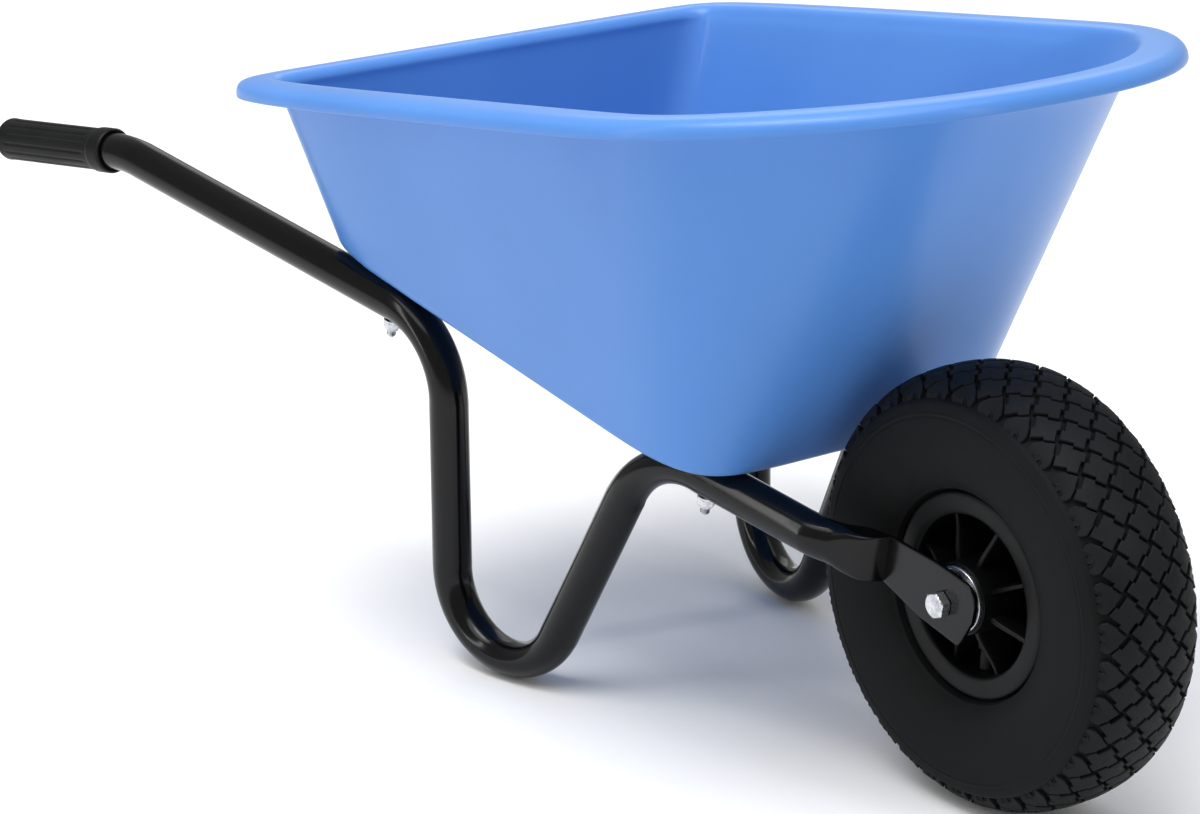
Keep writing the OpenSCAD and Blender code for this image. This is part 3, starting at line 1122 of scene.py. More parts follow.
    def plate_edges(self, x: Array) -> tuple[Array, Array]:
        """Lower and upper edge of the fork plate, at distances in front of the axle along the run.

        Args:
            x: Distances in front of the axle.

        Returns:
            Heights of the two edges over the run.
        """
        knots = np.array([-52, -12, 8, 14, 18, 21.5, 23.8, 25.2]) * MM
        top = np.interp(x, knots, np.array([17, 21, 21.5, 21.2, 20.4, 18.2, 15.4, 10.5]) * MM)
        lows = np.array([-52, -18, 16.5, 18.5, 25.2]) * MM
        low = np.interp(x, lows, np.array([-12, -17.8, -18.6, -17.0, 1.0]) * MM)
        return low, top

    def fork_rings(self, count: int) -> Array:
        """Rings of the crushed end, from the round tube to the tip of the flat plate.

        A section is a squared oval (|u|^(2/n), |v|^(2/n)) between an inner and an outer face and between a
        lower and an upper edge. The outer face keeps to the tube and then falls steeply to the crease.

        Args:
            count: Points in each ring.

        Returns:
            The rings, from the tube forwards.
        """
        run = np.linspace(0, 1, 44)
        x = np.concatenate([self.pinch + (self.crease - self.pinch) * run,
                            np.linspace(self.crease, self.plate_tip, 40)[1:]])
        t = np.clip((x - self.pinch) / (self.crease - self.pinch), 0, 1)
        middle = self.fork_half - x * math.cos(self.slope) * math.tan(self.toe)
        inner = middle - self.radius + (self.plate_inner - middle + self.radius) * ease(t)
        fall = self.early_fall * ease(t) + (1 - self.early_fall) * t**self.late_fall_power
        outer = (middle + self.radius) * (1 - fall) + (self.plate_inner + self.plate_thick) * fall
        low, top = self.plate_edges(np.maximum(x, self.plate_rear))
        blend = ease(t)
        low = -self.radius * (1 - blend) + low * blend + self.lift * (1 - blend)
        top = self.radius * (1 - blend) + top * blend + self.lift * (1 - blend)
        n = (2 + 6 * ease((t - 0.35) / 0.65))[:, None]
        angle = np.arange(count) * TAU / count
        middle, half = ((inner + outer) / 2)[:, None], ((outer - inner) / 2)[:, None]
        across = middle + half * squared(np.cos(angle), n)
        middle, half = ((low + top) / 2)[:, None], ((top - low) / 2)[:, None]
        up = middle + half * squared(np.sin(angle), n)
        c, s = math.cos(self.slope), math.sin(self.slope)
        return np.stack([AXLE[0] + x[:, None] * c + up * s, self.side.value * across,
                         AXLE[2] - x[:, None] * s + up * c], axis=-1)

    def build(self) -> None:
        """Makes the tube with its fork end as one closed skin."""
        tube, fork = self.tube_rings(self.ring_points), self.fork_rings(self.ring_points)
        rings = np.concatenate([tube[:-1], fork])
        patches = [Patch.grid(rings), Patch.fan(rings[0]), Patch.fan(rings[-1])]
        make_piece(f"painted_tube_{self.side.word}", patches, FRAME_PAINT, Body.FRAME,
                   [f"frame_tube_{self.side.word}"], 42)


# ---------- grips ----------


@dataclass(frozen=True)
class Grip:
    """A ribbed sleeve pushed over the tube's end, with a collar at its mouth."""

    side: Side
    length: float = 112 * MM
    radius: float = 14.2 * MM
    bore: float = 12.5 * MM
    collar: float = 13 * MM
    collar_radius: float = 15.2 * MM
    mouth_to_mount: float = 60 * MM
    flutes: int = 14
    steps_per_flute: int = 14
    flute_depth: float = 0.75 * MM
    flute_width: float = 0.9 * MM
    flute_fade: float = 2.5 * MM
    end_swell: float = 0.25 * MM
    end_round: float = 3.4 * MM

    def profile(self) -> Array:
        """Rows of (radius, height) from inside the mouth, over the collar, to the middle of the end.

        Returns:
            The rows.
        """
        knots = ((self.bore, 4 * MM), (self.bore, 0.6 * MM), (self.bore + 0.8 * MM, 0.0),
                 (self.collar_radius - 0.9 * MM, 0.0), (self.collar_radius, 1.2 * MM),
                 (self.collar_radius, 3 * MM), (self.collar_radius, self.collar - 2 * MM),
                 (self.collar_radius - 0.1 * MM, self.collar - 0.6 * MM),
                 (self.radius + 0.1 * MM, self.collar + 0.4 * MM), (self.radius, self.collar + 2 * MM))
        barrel = np.linspace(self.collar + 4 * MM, self.length - 5 * MM, 46)
        end_radius = self.radius + self.end_swell
        cap = rounding(end_radius, self.length, self.end_round, 9)
        inwards = np.linspace(1, 0, 7)[1:]
        face = np.stack([(end_radius - self.end_round) * inwards, np.full(6, self.length)], axis=1)
        return np.vstack([knots, column(self.radius, barrel), cap, face])

    def fluted(self, radius: Array, height: Array, angle: Array) -> Array:
        """Cuts the flutes: the radius falls as a bell curve of the distance from each flute's line.

        Args:
            radius: Radius of the profile.
            height: Height along the axis.
            angle: Angle about the axis.

        Returns:
            The radius of the surface.
        """
        spacing = TAU / self.flutes
        off = ((angle + spacing / 2) % spacing - spacing / 2) * self.radius
        start = ease((height - self.collar - 3.5 * MM) / self.flute_fade)
        end = ease((self.length - 9 * MM - height) / self.flute_fade)
        return radius - self.flute_depth * start * end * np.exp(-((off / self.flute_width) ** 2))

    def build(self) -> None:
        """Makes the grip along the axis that its mount states."""
        mount = MOUNTS[f"grip_{self.side.word}_sleeve"]
        axis = unit(np.array(mount["axis"], float))
        mouth = np.array(mount["pos_m"], float) - axis * self.mouth_to_mount
        sleeve = turned(self.profile(), mouth, axis, self.flutes * self.steps_per_flute, self.fluted)
        make_piece(f"ribbed_grip_{self.side.word}", [sleeve], GRIP_PLASTIC, Body.FRAME,
                   [f"grip_{self.side.word}"], 50)


# ---------- tub fasteners ----------


@dataclass(frozen=True)
class TubFasteners:
    """Dome-headed bolts through the tub's floor and the tubes, with locking nuts below."""

    rear: float = 428 * MM
    front: float = 166 * MM
    bolt_radius: float = 3 * MM
    head_radius: float = 6.2 * MM
    head_height: float = 3.4 * MM
    tube_radius: float = 12.5 * MM
    wall: float = 3 * MM
    washer: float = 1.5 * MM
    nut_across: float = 10 * MM
    nut_height: float = 4.5 * MM
    insert_height: float = 1.5 * MM
    reach: float = 24 * MM
    thread: float = 1 * MM
    thread_depth: float = 0.35 * MM
    seat: float = 13.4 * MM
    chamfer: float = 0.5 * MM
    face_share: float = 0.46
    insert_radius: float = 4.4 * MM
    insert_edge: float = 0.7 * MM

    def places(self) -> list[tuple[Array, Array]]:
        """Point on the tube's centre line and direction of each bolt, square to the run.

        Returns:
            Pairs of a point and a direction.
        """
        tubes = [FrameTube(side) for side in Side]
        places = []
        for tube in tubes:
            c, s = math.cos(tube.slope), math.sin(tube.slope)
            up = np.array([s * math.cos(tube.toe), -tube.side.value * s * math.sin(tube.toe), c])
            places += [(tube.place(tube.on_run(x)), up) for x in (self.rear, self.front)]
        return places

    def at_all(self, part: Callable[[Array, Array], list[Patch]]) -> list[Patch]:
        """Surfaces of one part at every bolt's place."""
        return [patch for place in self.places() for patch in part(*place)]

    def bolt(self, origin: Array, up: Array) -> list[Patch]:
        """A domed head on a threaded shank with a chamfered tip.

        Args:
            origin: Point on the tube's centre line.
            up: Direction of the bolt, towards the tub.

        Returns:
            The surfaces of the head and the shank.
        """
        low = self.tube_radius + self.wall + self.washer
        t = np.linspace(0, 1, 10)
        dome = np.stack([self.head_radius * np.cos(t * math.pi / 2),
                         low + self.head_height * (0.25 + 0.75 * np.sin(t * math.pi / 2))], axis=1)
        under = [(0, low), (self.head_radius * 0.94, low), (self.head_radius, low + 0.3 * MM)]
        head = np.vstack([under, dome])
        turns = np.arange(-self.reach + 1 * MM, -self.tube_radius + 2 * MM, self.thread / 6)
        shank = np.vstack([[(0, -self.reach), (self.bolt_radius - 0.8 * MM, -self.reach)],
                           column(self.bolt_radius, turns), [(self.bolt_radius, low), (0, low)]])
        return [turned(head, origin, up, 32),
                turned(shank, origin, up, 24, threaded(self.thread, self.thread_depth))]

    def nut(self, origin: Array, up: Array) -> list[Patch]:
        """A chamfered hexagon open at the bolt.

        Args:
            origin: Point on the tube's centre line.
            up: Direction of the bolt, towards the tub.

        Returns:
            The surface of the nut.
        """
        high = -self.seat
        low = high - self.nut_height
        rows = np.linspace(low, high, 9)
        across, bore = self.nut_across, self.bolt_radius
        face = across * self.face_share
        profile = np.vstack([[(bore, low), (face, low)], column(across, rows),
                             [(face, high), (bore, high), (bore, low)]])
        return [turned(profile, origin, up, 48, hexagon(across, self.chamfer, low, high))]

    def insert(self, origin: Array, up: Array) -> list[Patch]:
        """The rounded collar below the hexagon, which holds the nylon ring.

        Args:
            origin: Point on the tube's centre line.
            up: Direction of the bolt, towards the tub.

        Returns:
            The surface of the collar.
        """
        high = -self.seat - self.nut_height + 0.05 * MM
        low = high - self.insert_height
        bore = self.bolt_radius
        outside = rounding(self.insert_radius, low, self.insert_edge, 6, -1)
        profile = np.vstack([[(bore, high), (self.insert_radius, high)], outside,
                             [(bore + 0.2 * MM, low), (bore, low + 0.3 * MM), (bore, high)]])
        return [turned(profile, origin, up, 36)]

    def build(self) -> None:
        """Makes the four bolts, nuts and inserts, and finishes the washers."""
        make_piece("floor_bolts", self.at_all(self.bolt), ZINC, Body.FRAME, ["tub_bolts"], 40)
        make_piece("locking_nuts", self.at_all(self.nut), ZINC, Body.FRAME, ["tub_nuts"], 25)
        make_piece("locking_nut_collars", self.at_all(self.insert), NYLON, Body.FRAME, (), 40)
        for node in ("tub_bolt_washers", "tub_nut_washers"):
            dress_node(node, ZINC)


# ---------- axle ----------


@dataclass(frozen=True)
class Axle:
    """The wheel's bolt and nut through the fork plates, with bushes, bearings and dust caps."""

    plate_outer: float = 47.5 * MM
    across: float = 14 * MM
    head: float = 6.5 * MM
    nut: float = 7 * MM
    washer: float = 1.5 * MM
    radius: float = 5 * MM
    reach: float = 61 * MM
    hub_half: float = 35 * MM
    plate_inner: float = 44.5 * MM
    thread: float = 1.5 * MM
    thread_depth: float = 0.5 * MM
    thread_start: float = 40 * MM
    chamfer: float = 0.7 * MM
    head_turn: float = math.radians(12)
    collar_radius: float = 6.3 * MM
    collar_height: float = 2 * MM
    collar_edge: float = 1.2 * MM
    bush_bore: float = 5.2 * MM
    neck_radius: float = 8.6 * MM
    neck_length: float = 2.6 * MM
    flange_radius: float = 12.5 * MM
    flange_chamfer: float = 0.8 * MM

    def line(self, side: Side) -> tuple[Array, Array]:
        """Middle of the axle and the direction out through one side."""
        return AXLE, np.array([0.0, float(side.value), 0.0])

    def bolt(self) -> list[Patch]:
        """Hexagon head on the right, with a shallow dish, and a shank threaded at its far end.

        Returns:
            The surfaces of the head and the two halves of the shank.
        """
        low, high = self.plate_outer, self.plate_outer + self.head
        rows = np.linspace(low + 0.6 * MM, high, 12)
        a = self.across
        head = np.vstack([[(0, low), (a * 0.45, low), (a * 0.47, low + 0.5 * MM)],
                          column(a, rows),
                          [(a * 0.475, high), (a * 0.36, high), (a * 0.32, high - 0.25 * MM),
                           (0, high - 0.3 * MM)]])
        turns = np.arange(self.thread_start, self.reach - 1 * MM, self.thread / 6)
        shank = np.vstack([[(0, 0), (self.radius, 0), (self.radius, self.thread_start - 1 * MM)],
                           column(self.radius, turns),
                           [(self.radius - 1.1 * MM, self.reach), (0, self.reach)]])
        plain = np.array([(0, 0), (self.radius, 0), (self.radius, low), (0, low)])
        tilted = hexagon(a, self.chamfer, low - 3 * MM, high, self.head_turn)
        return [turned(head, *self.line(Side.RIGHT), 72, tilted),
                turned(plain, *self.line(Side.RIGHT), 32),
                turned(shank, *self.line(Side.LEFT), 32, threaded(self.thread, self.thread_depth))]

    def locking_nut(self) -> list[Patch]:
        """Chamfered hexagon with a rounded collar on its outer end.

        Returns:
            The surfaces of the nut and its collar.
        """
        low = self.plate_outer + self.washer
        high = low + self.nut
        rows = np.linspace(low, high, 12)
        a, r = self.across, self.radius
        body = np.vstack([[(r, low), (a * 0.46, low)], column(a, rows),
                          [(a * 0.46, high), (r, high), (r, low)]])
        foot, top = high - 0.1 * MM, high + self.collar_height
        collar = np.vstack([[(r, foot), (self.collar_radius, foot)],
                            rounding(self.collar_radius, top, self.collar_edge, 7),
                            [(r, top - 0.2 * MM), (r, foot)]])
        return [turned(body, *self.line(Side.LEFT), 60, hexagon(a, self.chamfer, low, high)),
                turned(collar, *self.line(Side.LEFT), 48)]

    def bush(self, side: Side) -> Patch:
        """Stepped bush: a narrow neck on the bearing, then a chamfered flange against the plate.

        Args:
            side: Side of the wheel.

        Returns:
            The surface.
        """
        inner, outer, step = self.hub_half, self.plate_inner, self.hub_half + self.neck_length
        bore, neck, flange, cut = self.bush_bore, self.neck_radius, self.flange_radius, self.flange_chamfer
        profile = np.array([(bore, inner), (neck, inner), (neck, step), (flange - cut, step),
                            (flange, step + cut), (flange, outer - cut), (flange - 0.7 * MM, outer),
                            (bore, outer), (bore, inner)])
        return turned(profile, *self.line(side), 64)

    def cap(self, side: Side) -> Patch:
        """Pressed dust cap: a rolled outer edge, a dished face and a hole for the bush.

        Args:
            side: Side of the wheel.

        Returns:
            The surface.
        """
        h = self.hub_half
        t = np.linspace(0, math.pi, 10)
        roll = np.stack([18.6 * MM + 0.9 * MM * np.cos(t), h + 1.3 * MM + 0.9 * MM * np.sin(t)], axis=1)
        face = np.array([(17.2, 1.15), (15.5, 0.75), (13.2, 0.7), (12.2, 1.2), (11.5, 2.0), (11.0, 2.0),
                         (11.0, 0.3), (14.4, 0.3), (14.4, 0.0), (19.5, 0.0)]) * MM
        face[:, 1] += h
        profile = np.vstack([roll, face, roll[:1]])
        return turned(profile, *self.line(side), 96)

    def build(self) -> None:
        """Makes the visible pieces and finishes the ones inside the hub."""
        make_piece("axle_hex_bolt", self.bolt(), ZINC, Body.FRAME, ["axle_bolt"], 25)
        make_piece("axle_locking_nut", self.locking_nut(), ZINC, Body.FRAME, ["axle_nut"], 25)
        make_piece("axle_bushes", [self.bush(side) for side in Side], ZINC, Body.FRAME,
                   ["axle_spacers"], 30)
        make_piece("bearing_dust_caps", [self.cap(side) for side in Side], ZINC, Body.WHEEL,
                   ["bearing_caps"], 35)
        dress_node("axle_washer", ZINC)
        for node in ("bearing_sleeve", "bearing_inner_rings", "bearing_balls", "bearing_outer_rings"):
            dress_node(node, BEARING_STEEL)


# ---------- rim ----------

WHEEL_LINE = np.array([0.0, 1.0, 0.0])


@dataclass(frozen=True)
class Rim:
    """Moulded rim: a barrel with rolled flanges, a web, ribs on both faces and the hub."""

    flange_radius: float = 61 * MM
    flange_half: float = 28.5 * MM
    seat_radius: float = 51 * MM
    barrel: float = 4 * MM
    bead_half: float = 23.5 * MM
    hub_radius: float = 21.5 * MM
    hub_half: float = 35 * MM
    bearing_radius: float = 17.5 * MM
    bearing_depth: float = 11 * MM
    mouth_radius: float = 19.6 * MM
    sleeve_bore: float = 10 * MM
    steps: int = 160
    ribs: int = 8
    rib_thick: float = 3.6 * MM
    rib_outer: float = 22.0 * MM
    rib_inner: float = 29.0 * MM
    rib_draft: float = 0.12
    rib_power: int = 5
    rib_rows: int = 14
    rib_points: int = 28

    def half_section(self) -> Array:
        """Control points of one half of the barrel, from the middle of the seat round to the hub's end.

        Each pair is (radius, distance from the mid-plane) in millimetres, and sharp places have points
        close together. The letters are the flange's radius f and half width h, the bead's half width b,
        the seat's radius s and the barrel's inner radius i.

        Returns:
            Rows of (radius, distance), in metres.
        """
        f, h = self.flange_radius / MM, self.flange_half / MM
        b, s = self.bead_half / MM, self.seat_radius / MM
        i = s - self.barrel / MM
        seat = ((s - 1.5, 0.0), (s - 1.5, 9), (s - 0.6, 14), (s, b - 2), (s + 0.3, b - 0.2), (s + 2, b))
        flange = ((f - 2.5, b), (f - 0.5, b), (f + 0.1, b + 0.5), (f + 0.2, b + 2), (f - 0.1, h - 1.6),
                  (f - 1.6, h - 0.2), (f - 4, h), (i + 5, h - 0.2), (i + 1.8, h - 0.5), (i + 0.5, h - 1.8))
        barrel = ((i + 0.1, h - 4), (i - 0.3, 16), (i - 0.8, 8), (i - 1.6, 3.5), (i - 3, 1.9), (i - 6, 1.5))
        web = ((36, 1.5), (27, 1.5), (24, 2.0), (22.6, 4), (22.1, 8))
        hub = ((21.8, 20), (21.5, 31), (21.5, 34.2), (21.3, 34.9), (20.6, 35), (19.9, 35), (19.7, 34.9),
               (19.6, 34.3))
        return np.array(seat + flange + barrel + web + hub) * MM

    def shell(self) -> list[Patch]:
        """The turned body: the half section smoothed, mirrored and closed through the bearing seats.

        Returns:
            The surface.
        """
        half = spline(self.half_section(), 3)
        r, d, h = self.bearing_radius, self.bearing_depth, self.hub_half
        bore = self.sleeve_bore
        seat = np.array([(self.mouth_radius, h), (r, h), (r, h - d), (bore, h - d), (bore, 0.0)])
        half = np.vstack([half, seat])
        whole = np.vstack([half[::-1] * (1, -1), half[1:]])
        whole = np.vstack([whole, whole[:1]])
        return [turned(whole, AXLE, WHEEL_LINE, self.steps)]

    def rib(self, angle: float, face: int) -> Patch:
        """One rib as a stack of rounded sections from hub to barrel.

        A section is a squared oval, thick across and as high as the rib's sloping edge at that radius.

        Args:
            angle: Angle of the rib about the axle.
            face: 1 for the left face, -1 for the right.

        Returns:
            The surface, open at both ends.
        """
        start, end = self.hub_radius - 1 * MM, self.seat_radius - self.barrel + 0.8 * MM
        radius = np.linspace(start, end, self.rib_rows)
        share = (radius - radius[0]) / (radius[-1] - radius[0])
        edge = self.rib_inner + (self.rib_outer - self.rib_inner) * ease(share)
        turn = np.arange(self.rib_points) * TAU / self.rib_points
        draft = 1 + self.rib_draft - 2 * self.rib_draft * share
        across = (self.rib_thick / 2) * draft[:, None] * squared(np.cos(turn), self.rib_power)
        middle = edge[:, None] / 2
        depth = face * (middle + middle * squared(np.sin(turn), self.rib_power))
        c, s = math.cos(angle), math.sin(angle)
        points = np.stack([radius[:, None] * c - across * s, depth, radius[:, None] * s + across * c], -1)
        return Patch.grid(AXLE + points)

    def build(self) -> None:
        """Makes the rim with its ribs; each rib's open ends lie inside the hub and the barrel."""
        angles = (np.arange(self.ribs) + 0.5) * TAU / self.ribs
        ribs = [self.rib(angle, face) for angle in angles for face in (-1, 1)]
        caps = []
        for rib in ribs:
            rings = rib.points.reshape(self.rib_rows, self.rib_points, 3)
            caps += [Patch.fan(rings[0]), Patch.fan(rings[-1])]
        make_piece("ribbed_rim", self.shell() + ribs + caps, RIM_PLASTIC, Body.WHEEL, ["rim"], 40)


@dataclass(frozen=True)
class Valve:
    """Rubber valve stem that points from the seat towards the hub, with its cap."""

    seat_radius: float = 51 * MM
    offset: float = 13 * MM
    length: float = 16 * MM
    buried: float = 16 * MM
    cap_height: float = 6 * MM
    ridges: int = 16
    ridge_share: float = 0.03
    ridged_past: float = 4.5 * MM

    def build(self) -> None:
        """Makes the stem with its foot and the ridged cap."""
        origin = AXLE + np.array([0.0, -self.offset, -self.seat_radius])
        axis = np.array([0.0, 0.0, 1.0])
        low, high = -self.buried, self.length
        stem = spline(np.array([(0.0, low), (4.0, low), (4.0, low + 4 * MM), (4.0, 0.0), (5.2, 1 * MM),
                                (5.0, 2.4 * MM), (4.1, 3.6 * MM), (3.7, 8 * MM), (3.6, high), (0.0, high)])
                      * (MM, 1.0), 4)
        top = high + self.cap_height
        cap = np.array([(0.0, high), (3.9, high), (4.7, high + 0.5 * MM), (4.8, high + 1 * MM),
                        (4.8, top - 1.4 * MM), (4.3, top - 0.4 * MM), (3.2, top), (0.0, top)]) * (MM, 1.0)

        def ridged(radius: Array, height: Array, angle: Array) -> Array:
            """Knurls the cap: the radius rises and falls with the angle."""
            ridge = self.ridge_share * np.cos(self.ridges * angle)
            return radius * (1 + ridge * (radius > self.ridged_past))

        make_piece("valve_rubber_stem", [turned(stem, origin, axis, 32)], TUBE_RUBBER, Body.WHEEL,
                   ["valve_stem"], 50)
        make_piece("valve_ridged_cap", [turned(cap, origin, axis, 64, ridged)], RIM_PLASTIC, Body.WHEEL,
                   ["valve_cap"], 40)


# ---------- tyre ----------


@dataclass(frozen=True)
class Tyre:
    """Inflated tyre: a smooth carcass, a lattice of square tread blocks and lugs on the shoulders."""

    radius: float = 130 * MM
    half_width: float = 40.5 * MM
    shoulder: float = 36 * MM
    flange_radius: float = 61 * MM
    bead_half: float = 23.5 * MM
    wall: float = 5 * MM
    pitches: int = 34
    groove: float = 2.2 * MM
    groove_depth: float = 3.2 * MM
    notch: float = 1.9 * MM
    bead_radius: float = 51.2 * MM
    crown_power: float = 0.62
    side_power: float = 0.85
    bead_power: float = 0.9
    tread_edge: float = 37 * MM
    tread_fade: float = 7 * MM
    steps: int = 204

    @property
    def pitch(self) -> float:
        """Distance round the crown from one block to the next in its row."""
        return TAU * self.radius / self.pitches

    @lru_cache(maxsize=None)
    def crown(self) -> tuple[Array, Array, Array]:
        """The outer section as distances from the crown's middle, points and outward normals.

        From the crown to the widest place the radius falls by shoulder (1 - cos(k)^0.62) while the half
        width grows as sin(k)^0.85; from there to the bead it follows a quarter of an oval.

        Returns:
            Distances, (radius, width) points and normals, from the crown's middle down to the bead.
        """
        k = np.radians(np.linspace(0, 90, 240))
        upper = np.stack([self.radius - self.shoulder * (1 - np.cos(k) ** self.crown_power),
                          self.half_width * np.sin(k) ** self.side_power], axis=1)
        foot = self.bead_half + 0.6 * MM
        drop = self.radius - self.shoulder - self.flange_radius - 0.8 * MM
        lower = np.stack([self.radius - self.shoulder - drop * np.sin(k),
                          foot + (self.half_width - foot) * np.cos(k) ** self.bead_power], axis=1)
        points = np.vstack([upper, lower[1:]])
        step = np.linalg.norm(np.diff(points, axis=0), axis=1)
        keep = np.concatenate([[True], step > 1e-8])
        points = points[keep]
        way = np.concatenate([[0], np.cumsum(np.linalg.norm(np.diff(points, axis=0), axis=1))])
        even = np.linspace(0, way[-1], 400)
        points = np.stack([np.interp(even, way, points[:, i]) for i in (0, 1)], axis=1)
        tangent = unit(np.gradient(points, axis=0))
        normal = np.stack([tangent[:, 1], -tangent[:, 0]], axis=1)
        return even, points, normal

    def wrap(self, around: Array, across: Array, height: Array) -> Array:
        """Lays points of a flat tread pattern on the tyre.

        Args:
            around: Distance round the crown.
            across: Distance over the crown from its middle, signed like Y.
            height: Height above the outer section.

        Returns:
            Points in the barrow's frame.
        """
        way, points, normal = self.crown()
        far = np.abs(across)
        section = [np.interp(far, way, points[:, i]) + height * np.interp(far, way, normal[:, i])
                   for i in (0, 1)]
        angle = around / self.radius
        return AXLE + np.stack([section[0] * np.cos(angle), np.sign(across) * section[1],
                                section[0] * np.sin(angle)], axis=-1)

    def carcass(self) -> list[Patch]:
        """The closed tyre wall, sunk under the tread, with mould lines on the sidewall.

        Returns:
            The surface.
        """
        way, points, normal = self.crown()
        sunk = self.groove_depth * (1 - ease((way - self.tread_edge) / self.tread_fade))
        lines = ((0.35 * MM, 50 * MM, 0.5 * MM), (-0.3 * MM, 51.6 * MM, 0.6 * MM),
                 (0.6 * MM, way[-1] - 6 * MM, 1.2 * MM))
        height = -sunk
        for rise, at, width in lines:
            height = height + rise * np.exp(-(((way - at) / width) ** 2))
        outer = (points + height[:, None] * normal)[::2]
        bead = np.array([(self.flange_radius + 0.6 * MM, self.bead_half),
                         (self.bead_radius, self.bead_half),
                         (self.bead_radius, self.bead_half - self.wall)])
        inner = (points - self.wall * normal)[: -40 : 12][::-1]
        half = np.vstack([outer, bead, inner])
        whole = np.vstack([half, (half * (1, -1))[::-1]])
        return [turned(np.vstack([whole, whole[:1]]), AXLE, WHEEL_LINE, self.steps)]

    def block_outline(self) -> Array:
        """Outline of a block in a square turned by 45 degrees, with a step half way along each side.

        Going round, the first half of each side stands out by half the notch and the second half is set
        in by as much, so that the groove between two blocks keeps its width but runs in steps.

        Returns:
            Rows of (around, across).
        """
        half = (self.pitch / math.sqrt(2) - self.groove) / 2
        out, back = half + self.notch / 2, half - self.notch / 2
        side = np.array([(out, -back), (out, -0.1 * MM), (back, 0.1 * MM), (back, out)])
        turns = [np.linalg.matrix_power(np.array([[0, -1], [1, 0]]), i) for i in range(4)]
        square = np.vstack([side[:3] @ turn.T for turn in turns])
        c = math.sqrt(0.5)
        return square @ np.array([[c, c], [-c, c]])

    def blocks(self) -> list[Patch]:
        """Tread blocks of five rows, each with a domed top, a bevel and drafted sides.

        Returns:
            The blocks.
        """
        outline = self.block_outline()
        rows = np.arange(-2, 3)
        place = np.array([((i + 0.5 * (row % 2)) * self.pitch, row * self.pitch / 2)
                          for row in rows for i in range(self.pitches)])
        rings = ((1.05, -self.groove_depth - 0.4 * MM), (1.0, -0.45 * MM), (0.94, 0.0), (0.5, 0.10 * MM))
        return self.stacked(outline, place, rings, np.zeros(1))

    def stacked(self, outline: Array, place: Array, rings: Sequence[tuple[float, float]],
                sink: Array) -> list[Patch]:
        """Stacks scaled copies of an outline into small solids and lays them on the tyre.

        Args:
            outline: Rows of (around, across) of one solid.
            place: Middle of every solid.
            rings: Scale and height of each ring, from the bottom up.
            sink: Amount by which each point of the outline lies lower.

        Returns:
            The sides and the tops.
        """
        count, many = len(outline), len(place)
        layers = []
        for scale, height in rings:
            flat = place[:, None, :] + outline[None] * scale
            heights = height - np.broadcast_to(sink, (many, count))
            layers.append(self.wrap(flat[..., 0], flat[..., 1], heights))
        stack = np.stack(layers, axis=1)
        top = self.wrap(place[:, 0], place[:, 1], np.full(many, rings[-1][1]) - np.mean(sink))
        i = np.arange(len(rings) - 1)[:, None]
        j = np.arange(count)[None, :]
        quads = np.stack([i * count + j, i * count + (j + 1) % count,
                          (i + 1) * count + (j + 1) % count, (i + 1) * count + j], axis=-1).reshape(-1, 4)
        size = len(rings) * count
        starts = np.arange(many)[:, None, None] * (size + 1)
        last = (len(rings) - 1) * count + np.arange(count)
        fans = np.stack([last, (len(rings) - 1) * count + (np.arange(count) + 1) % count,
                         np.full(count, size)], axis=-1)
        points = np.concatenate([stack.reshape(many, size, 3), top[:, None]], axis=1).reshape(-1, 3)
        return [Patch(points, [(quads + starts).reshape(-1, 4), (fans + starts).reshape(-1, 3)])]

    def lugs(self) -> list[Patch]:
        """Shoulder lugs: half blocks whose outer end splits into two fading fins.

        Returns:
            The lugs of both shoulders.
        """
        half = self.pitch / 2 - self.groove * math.sqrt(0.5)
        right = np.array([(0.0, -half), (4.6, -half + 4.6 * MM), (5.4, -half + 4.6 * MM),
                          (half / MM - 1.0, -0.6 * MM), (half / MM - 1.2, 3.0 * MM), (6.6, 8.4 * MM),
                          (5.4, 8.4 * MM), (4.2, 2.6 * MM), (2.2, 2.4 * MM), (1.4, 6.0 * MM),
                          (0.0, 6.4 * MM)])
        right[:, 0] *= MM
        outline = np.vstack([right, (right[1:-1] * (-1, 1))[::-1]])
        patches = []
        for side in Side:
            place = np.array([((i + 0.5) * self.pitch, side.value * 1.5 * self.pitch)
                              for i in range(self.pitches)])
            shaped = outline * (1, side.value)
            sink = (self.groove_depth - 1.2 * MM) * ease((outline[:, 1] - 1 * MM) / (8 * MM))
            rings = ((1.04, -self.groove_depth - 0.4 * MM), (1.0, -0.4 * MM), (0.94, 0.0))
            patches += self.stacked(shaped, place, rings, sink)
        return patches

    def build(self) -> None:
        """Makes the carcass, the blocks and the lugs, and finishes the inner tube."""
        make_piece("tyre_carcass", self.carcass(), TYRE_SIDE, Body.WHEEL, ["tyre"], 50)
        # Blocks and lugs use the lighter tread rubber: a painted highlight on their tops, with painted
        # shade on the darker groove floors of the carcass.
        make_piece("tread_blocks", self.blocks(), TYRE_TREAD_PAINTED_LIGHT, Body.WHEEL, (), 30)
        make_piece("shoulder_lugs", self.lugs(), TYRE_TREAD_PAINTED_LIGHT, Body.WHEEL, (), 30)
        dress_node("inner_tube", TUBE_RUBBER)


# ---------- studio ----------


@dataclass(frozen=True)
class Softbox:
    """A rectangular soft light that points at the barrow."""

    name: str
    place: tuple[float, float, float]
    size: tuple[float, float]
    watts: float
    target: tuple[float, float, float] = (0.05, 0.0, 0.22)

    def build(self) -> None:
        """Makes the light, turned towards its target."""
        light = bpy.data.lights.new(self.name, "AREA")
        light.shape = "RECTANGLE"
        light.size, light.size_y = self.size
        light.energy = self.watts
        back, right, up = upright_frame(unit(np.array(self.place) - np.array(self.target)))
        put(self.name, light).matrix_world = standing(right, up, back, self.place)


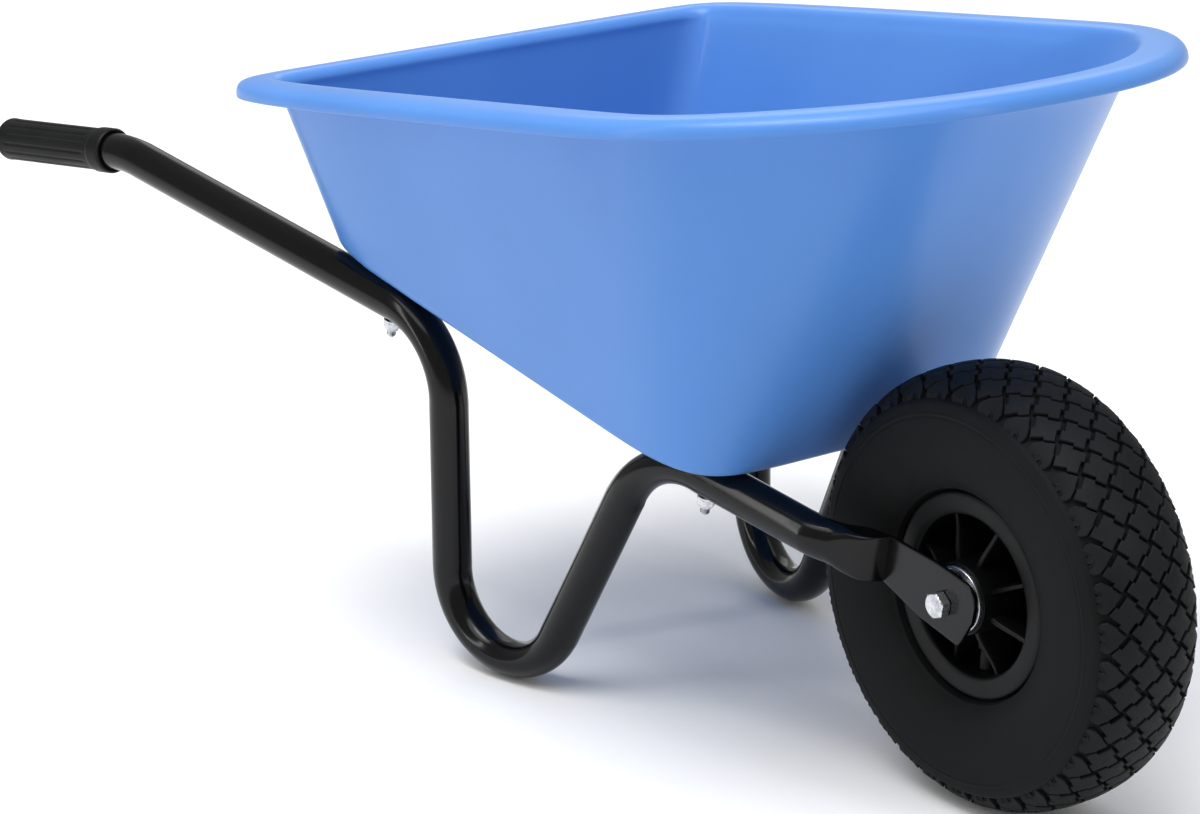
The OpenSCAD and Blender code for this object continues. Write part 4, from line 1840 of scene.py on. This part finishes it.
@dataclass(frozen=True)
class Studio:
    """Paper floor, soft light from above and the sides, and a long-lens camera from the front right."""

    azimuth: float = math.radians(53.634)
    elevation: float = math.radians(17.416)
    roll: float = math.radians(-0.819)
    lens: float = 116.095
    shift: float = -0.0128
    eye: tuple[float, float, float] = (1.5377, -1.4061, 0.8899)
    clip: tuple[float, float] = (0.1, 60.0)
    reach: float = 14.0
    sky_strength: float = 0.42
    sun_strength: float = 1.5
    sun_spread: float = math.radians(50)
    sun_tilt: tuple[float, float, float] = (math.radians(18), math.radians(8), 0.0)
    boxes: tuple[Softbox, ...] = (
        Softbox("overhead_box", (0.1, -0.1, 2.6), (2.4, 2.0), 30),
        Softbox("right_strip", (-0.6, -2.4, 1.0), (0.22, 2.2), 13),
        Softbox("front_strip", (2.6, 0.4, 1.1), (0.22, 2.2), 10),
        Softbox("high_right_box", (0.15, -0.8, 2.8), (1.2, 1.2), 26),
        Softbox("rear_left_box", (-1.8, 1.6, 1.6), (1.4, 1.2), 6),
    )

    def camera(self) -> None:
        """Places the camera: eye is measured from the point on the ground below the axle."""
        a, e, r = self.azimuth, self.elevation, self.roll
        back = np.array([math.sin(a) * math.cos(e), -math.cos(a) * math.cos(e), math.sin(e)])
        level = np.array([math.cos(a), math.sin(a), 0.0])
        rise = np.cross(back, level)
        right = math.cos(r) * level + math.sin(r) * rise
        up = math.cos(r) * rise - math.sin(r) * level
        lens = bpy.data.cameras.new("camera")
        lens.lens, lens.shift_x = self.lens, self.shift
        lens.clip_start, lens.clip_end = self.clip
        camera = put("camera", lens)
        camera.matrix_world = standing(right, up, back, np.array(self.eye) + (AXLE[0], 0, 0))
        bpy.context.scene.camera = camera

    def floor(self) -> None:
        """Lays a wide square of paper on the ground."""
        corners = [(x * self.reach, y * self.reach, 0) for x, y in ((-1, -1), (1, -1), (1, 1), (-1, 1))]
        mesh = bpy.data.meshes.new("paper_floor")
        mesh.from_pydata(corners, [], [(0, 1, 2, 3)])
        mesh.materials.append(PAPER.material())
        put("paper_floor", mesh)

    def sky(self) -> None:
        """Soft light from all round, brighter above."""
        scene = bpy.context.scene
        world = bpy.data.worlds.new("studio")
        world.use_nodes = True
        background = world.node_tree.nodes["Background"]
        background.inputs["Color"].default_value = (1.0, 1.0, 1.0, 1.0)
        background.inputs["Strength"].default_value = self.sky_strength
        scene.world = world
        sun = bpy.data.lights.new("soft_sun", "SUN")
        sun.energy, sun.angle = self.sun_strength, self.sun_spread
        put("soft_sun", sun).rotation_euler = self.sun_tilt
        scene.view_settings.view_transform = "Standard"

    def build(self) -> None:
        """Sets up floor, light and camera."""
        self.floor()
        self.sky()
        for box in self.boxes:
            box.build()
        self.camera()
        LOG.info("studio: %d soft boxes, camera at %.0f mm", len(self.boxes), self.lens)


def main() -> None:
    """Builds every sub-assembly in order."""
    logging.basicConfig(level=logging.INFO, format="%(name)s: %(message)s", stream=sys.stdout)
    Studio().build()
    Tub().build()
    for side in Side:
        FrameTube(side).build()
        Grip(side).build()
    TubFasteners().build()
    Axle().build()
    Rim().build()
    Valve().build()
    Tyre().build()


if __name__ == "__main__":
    main()
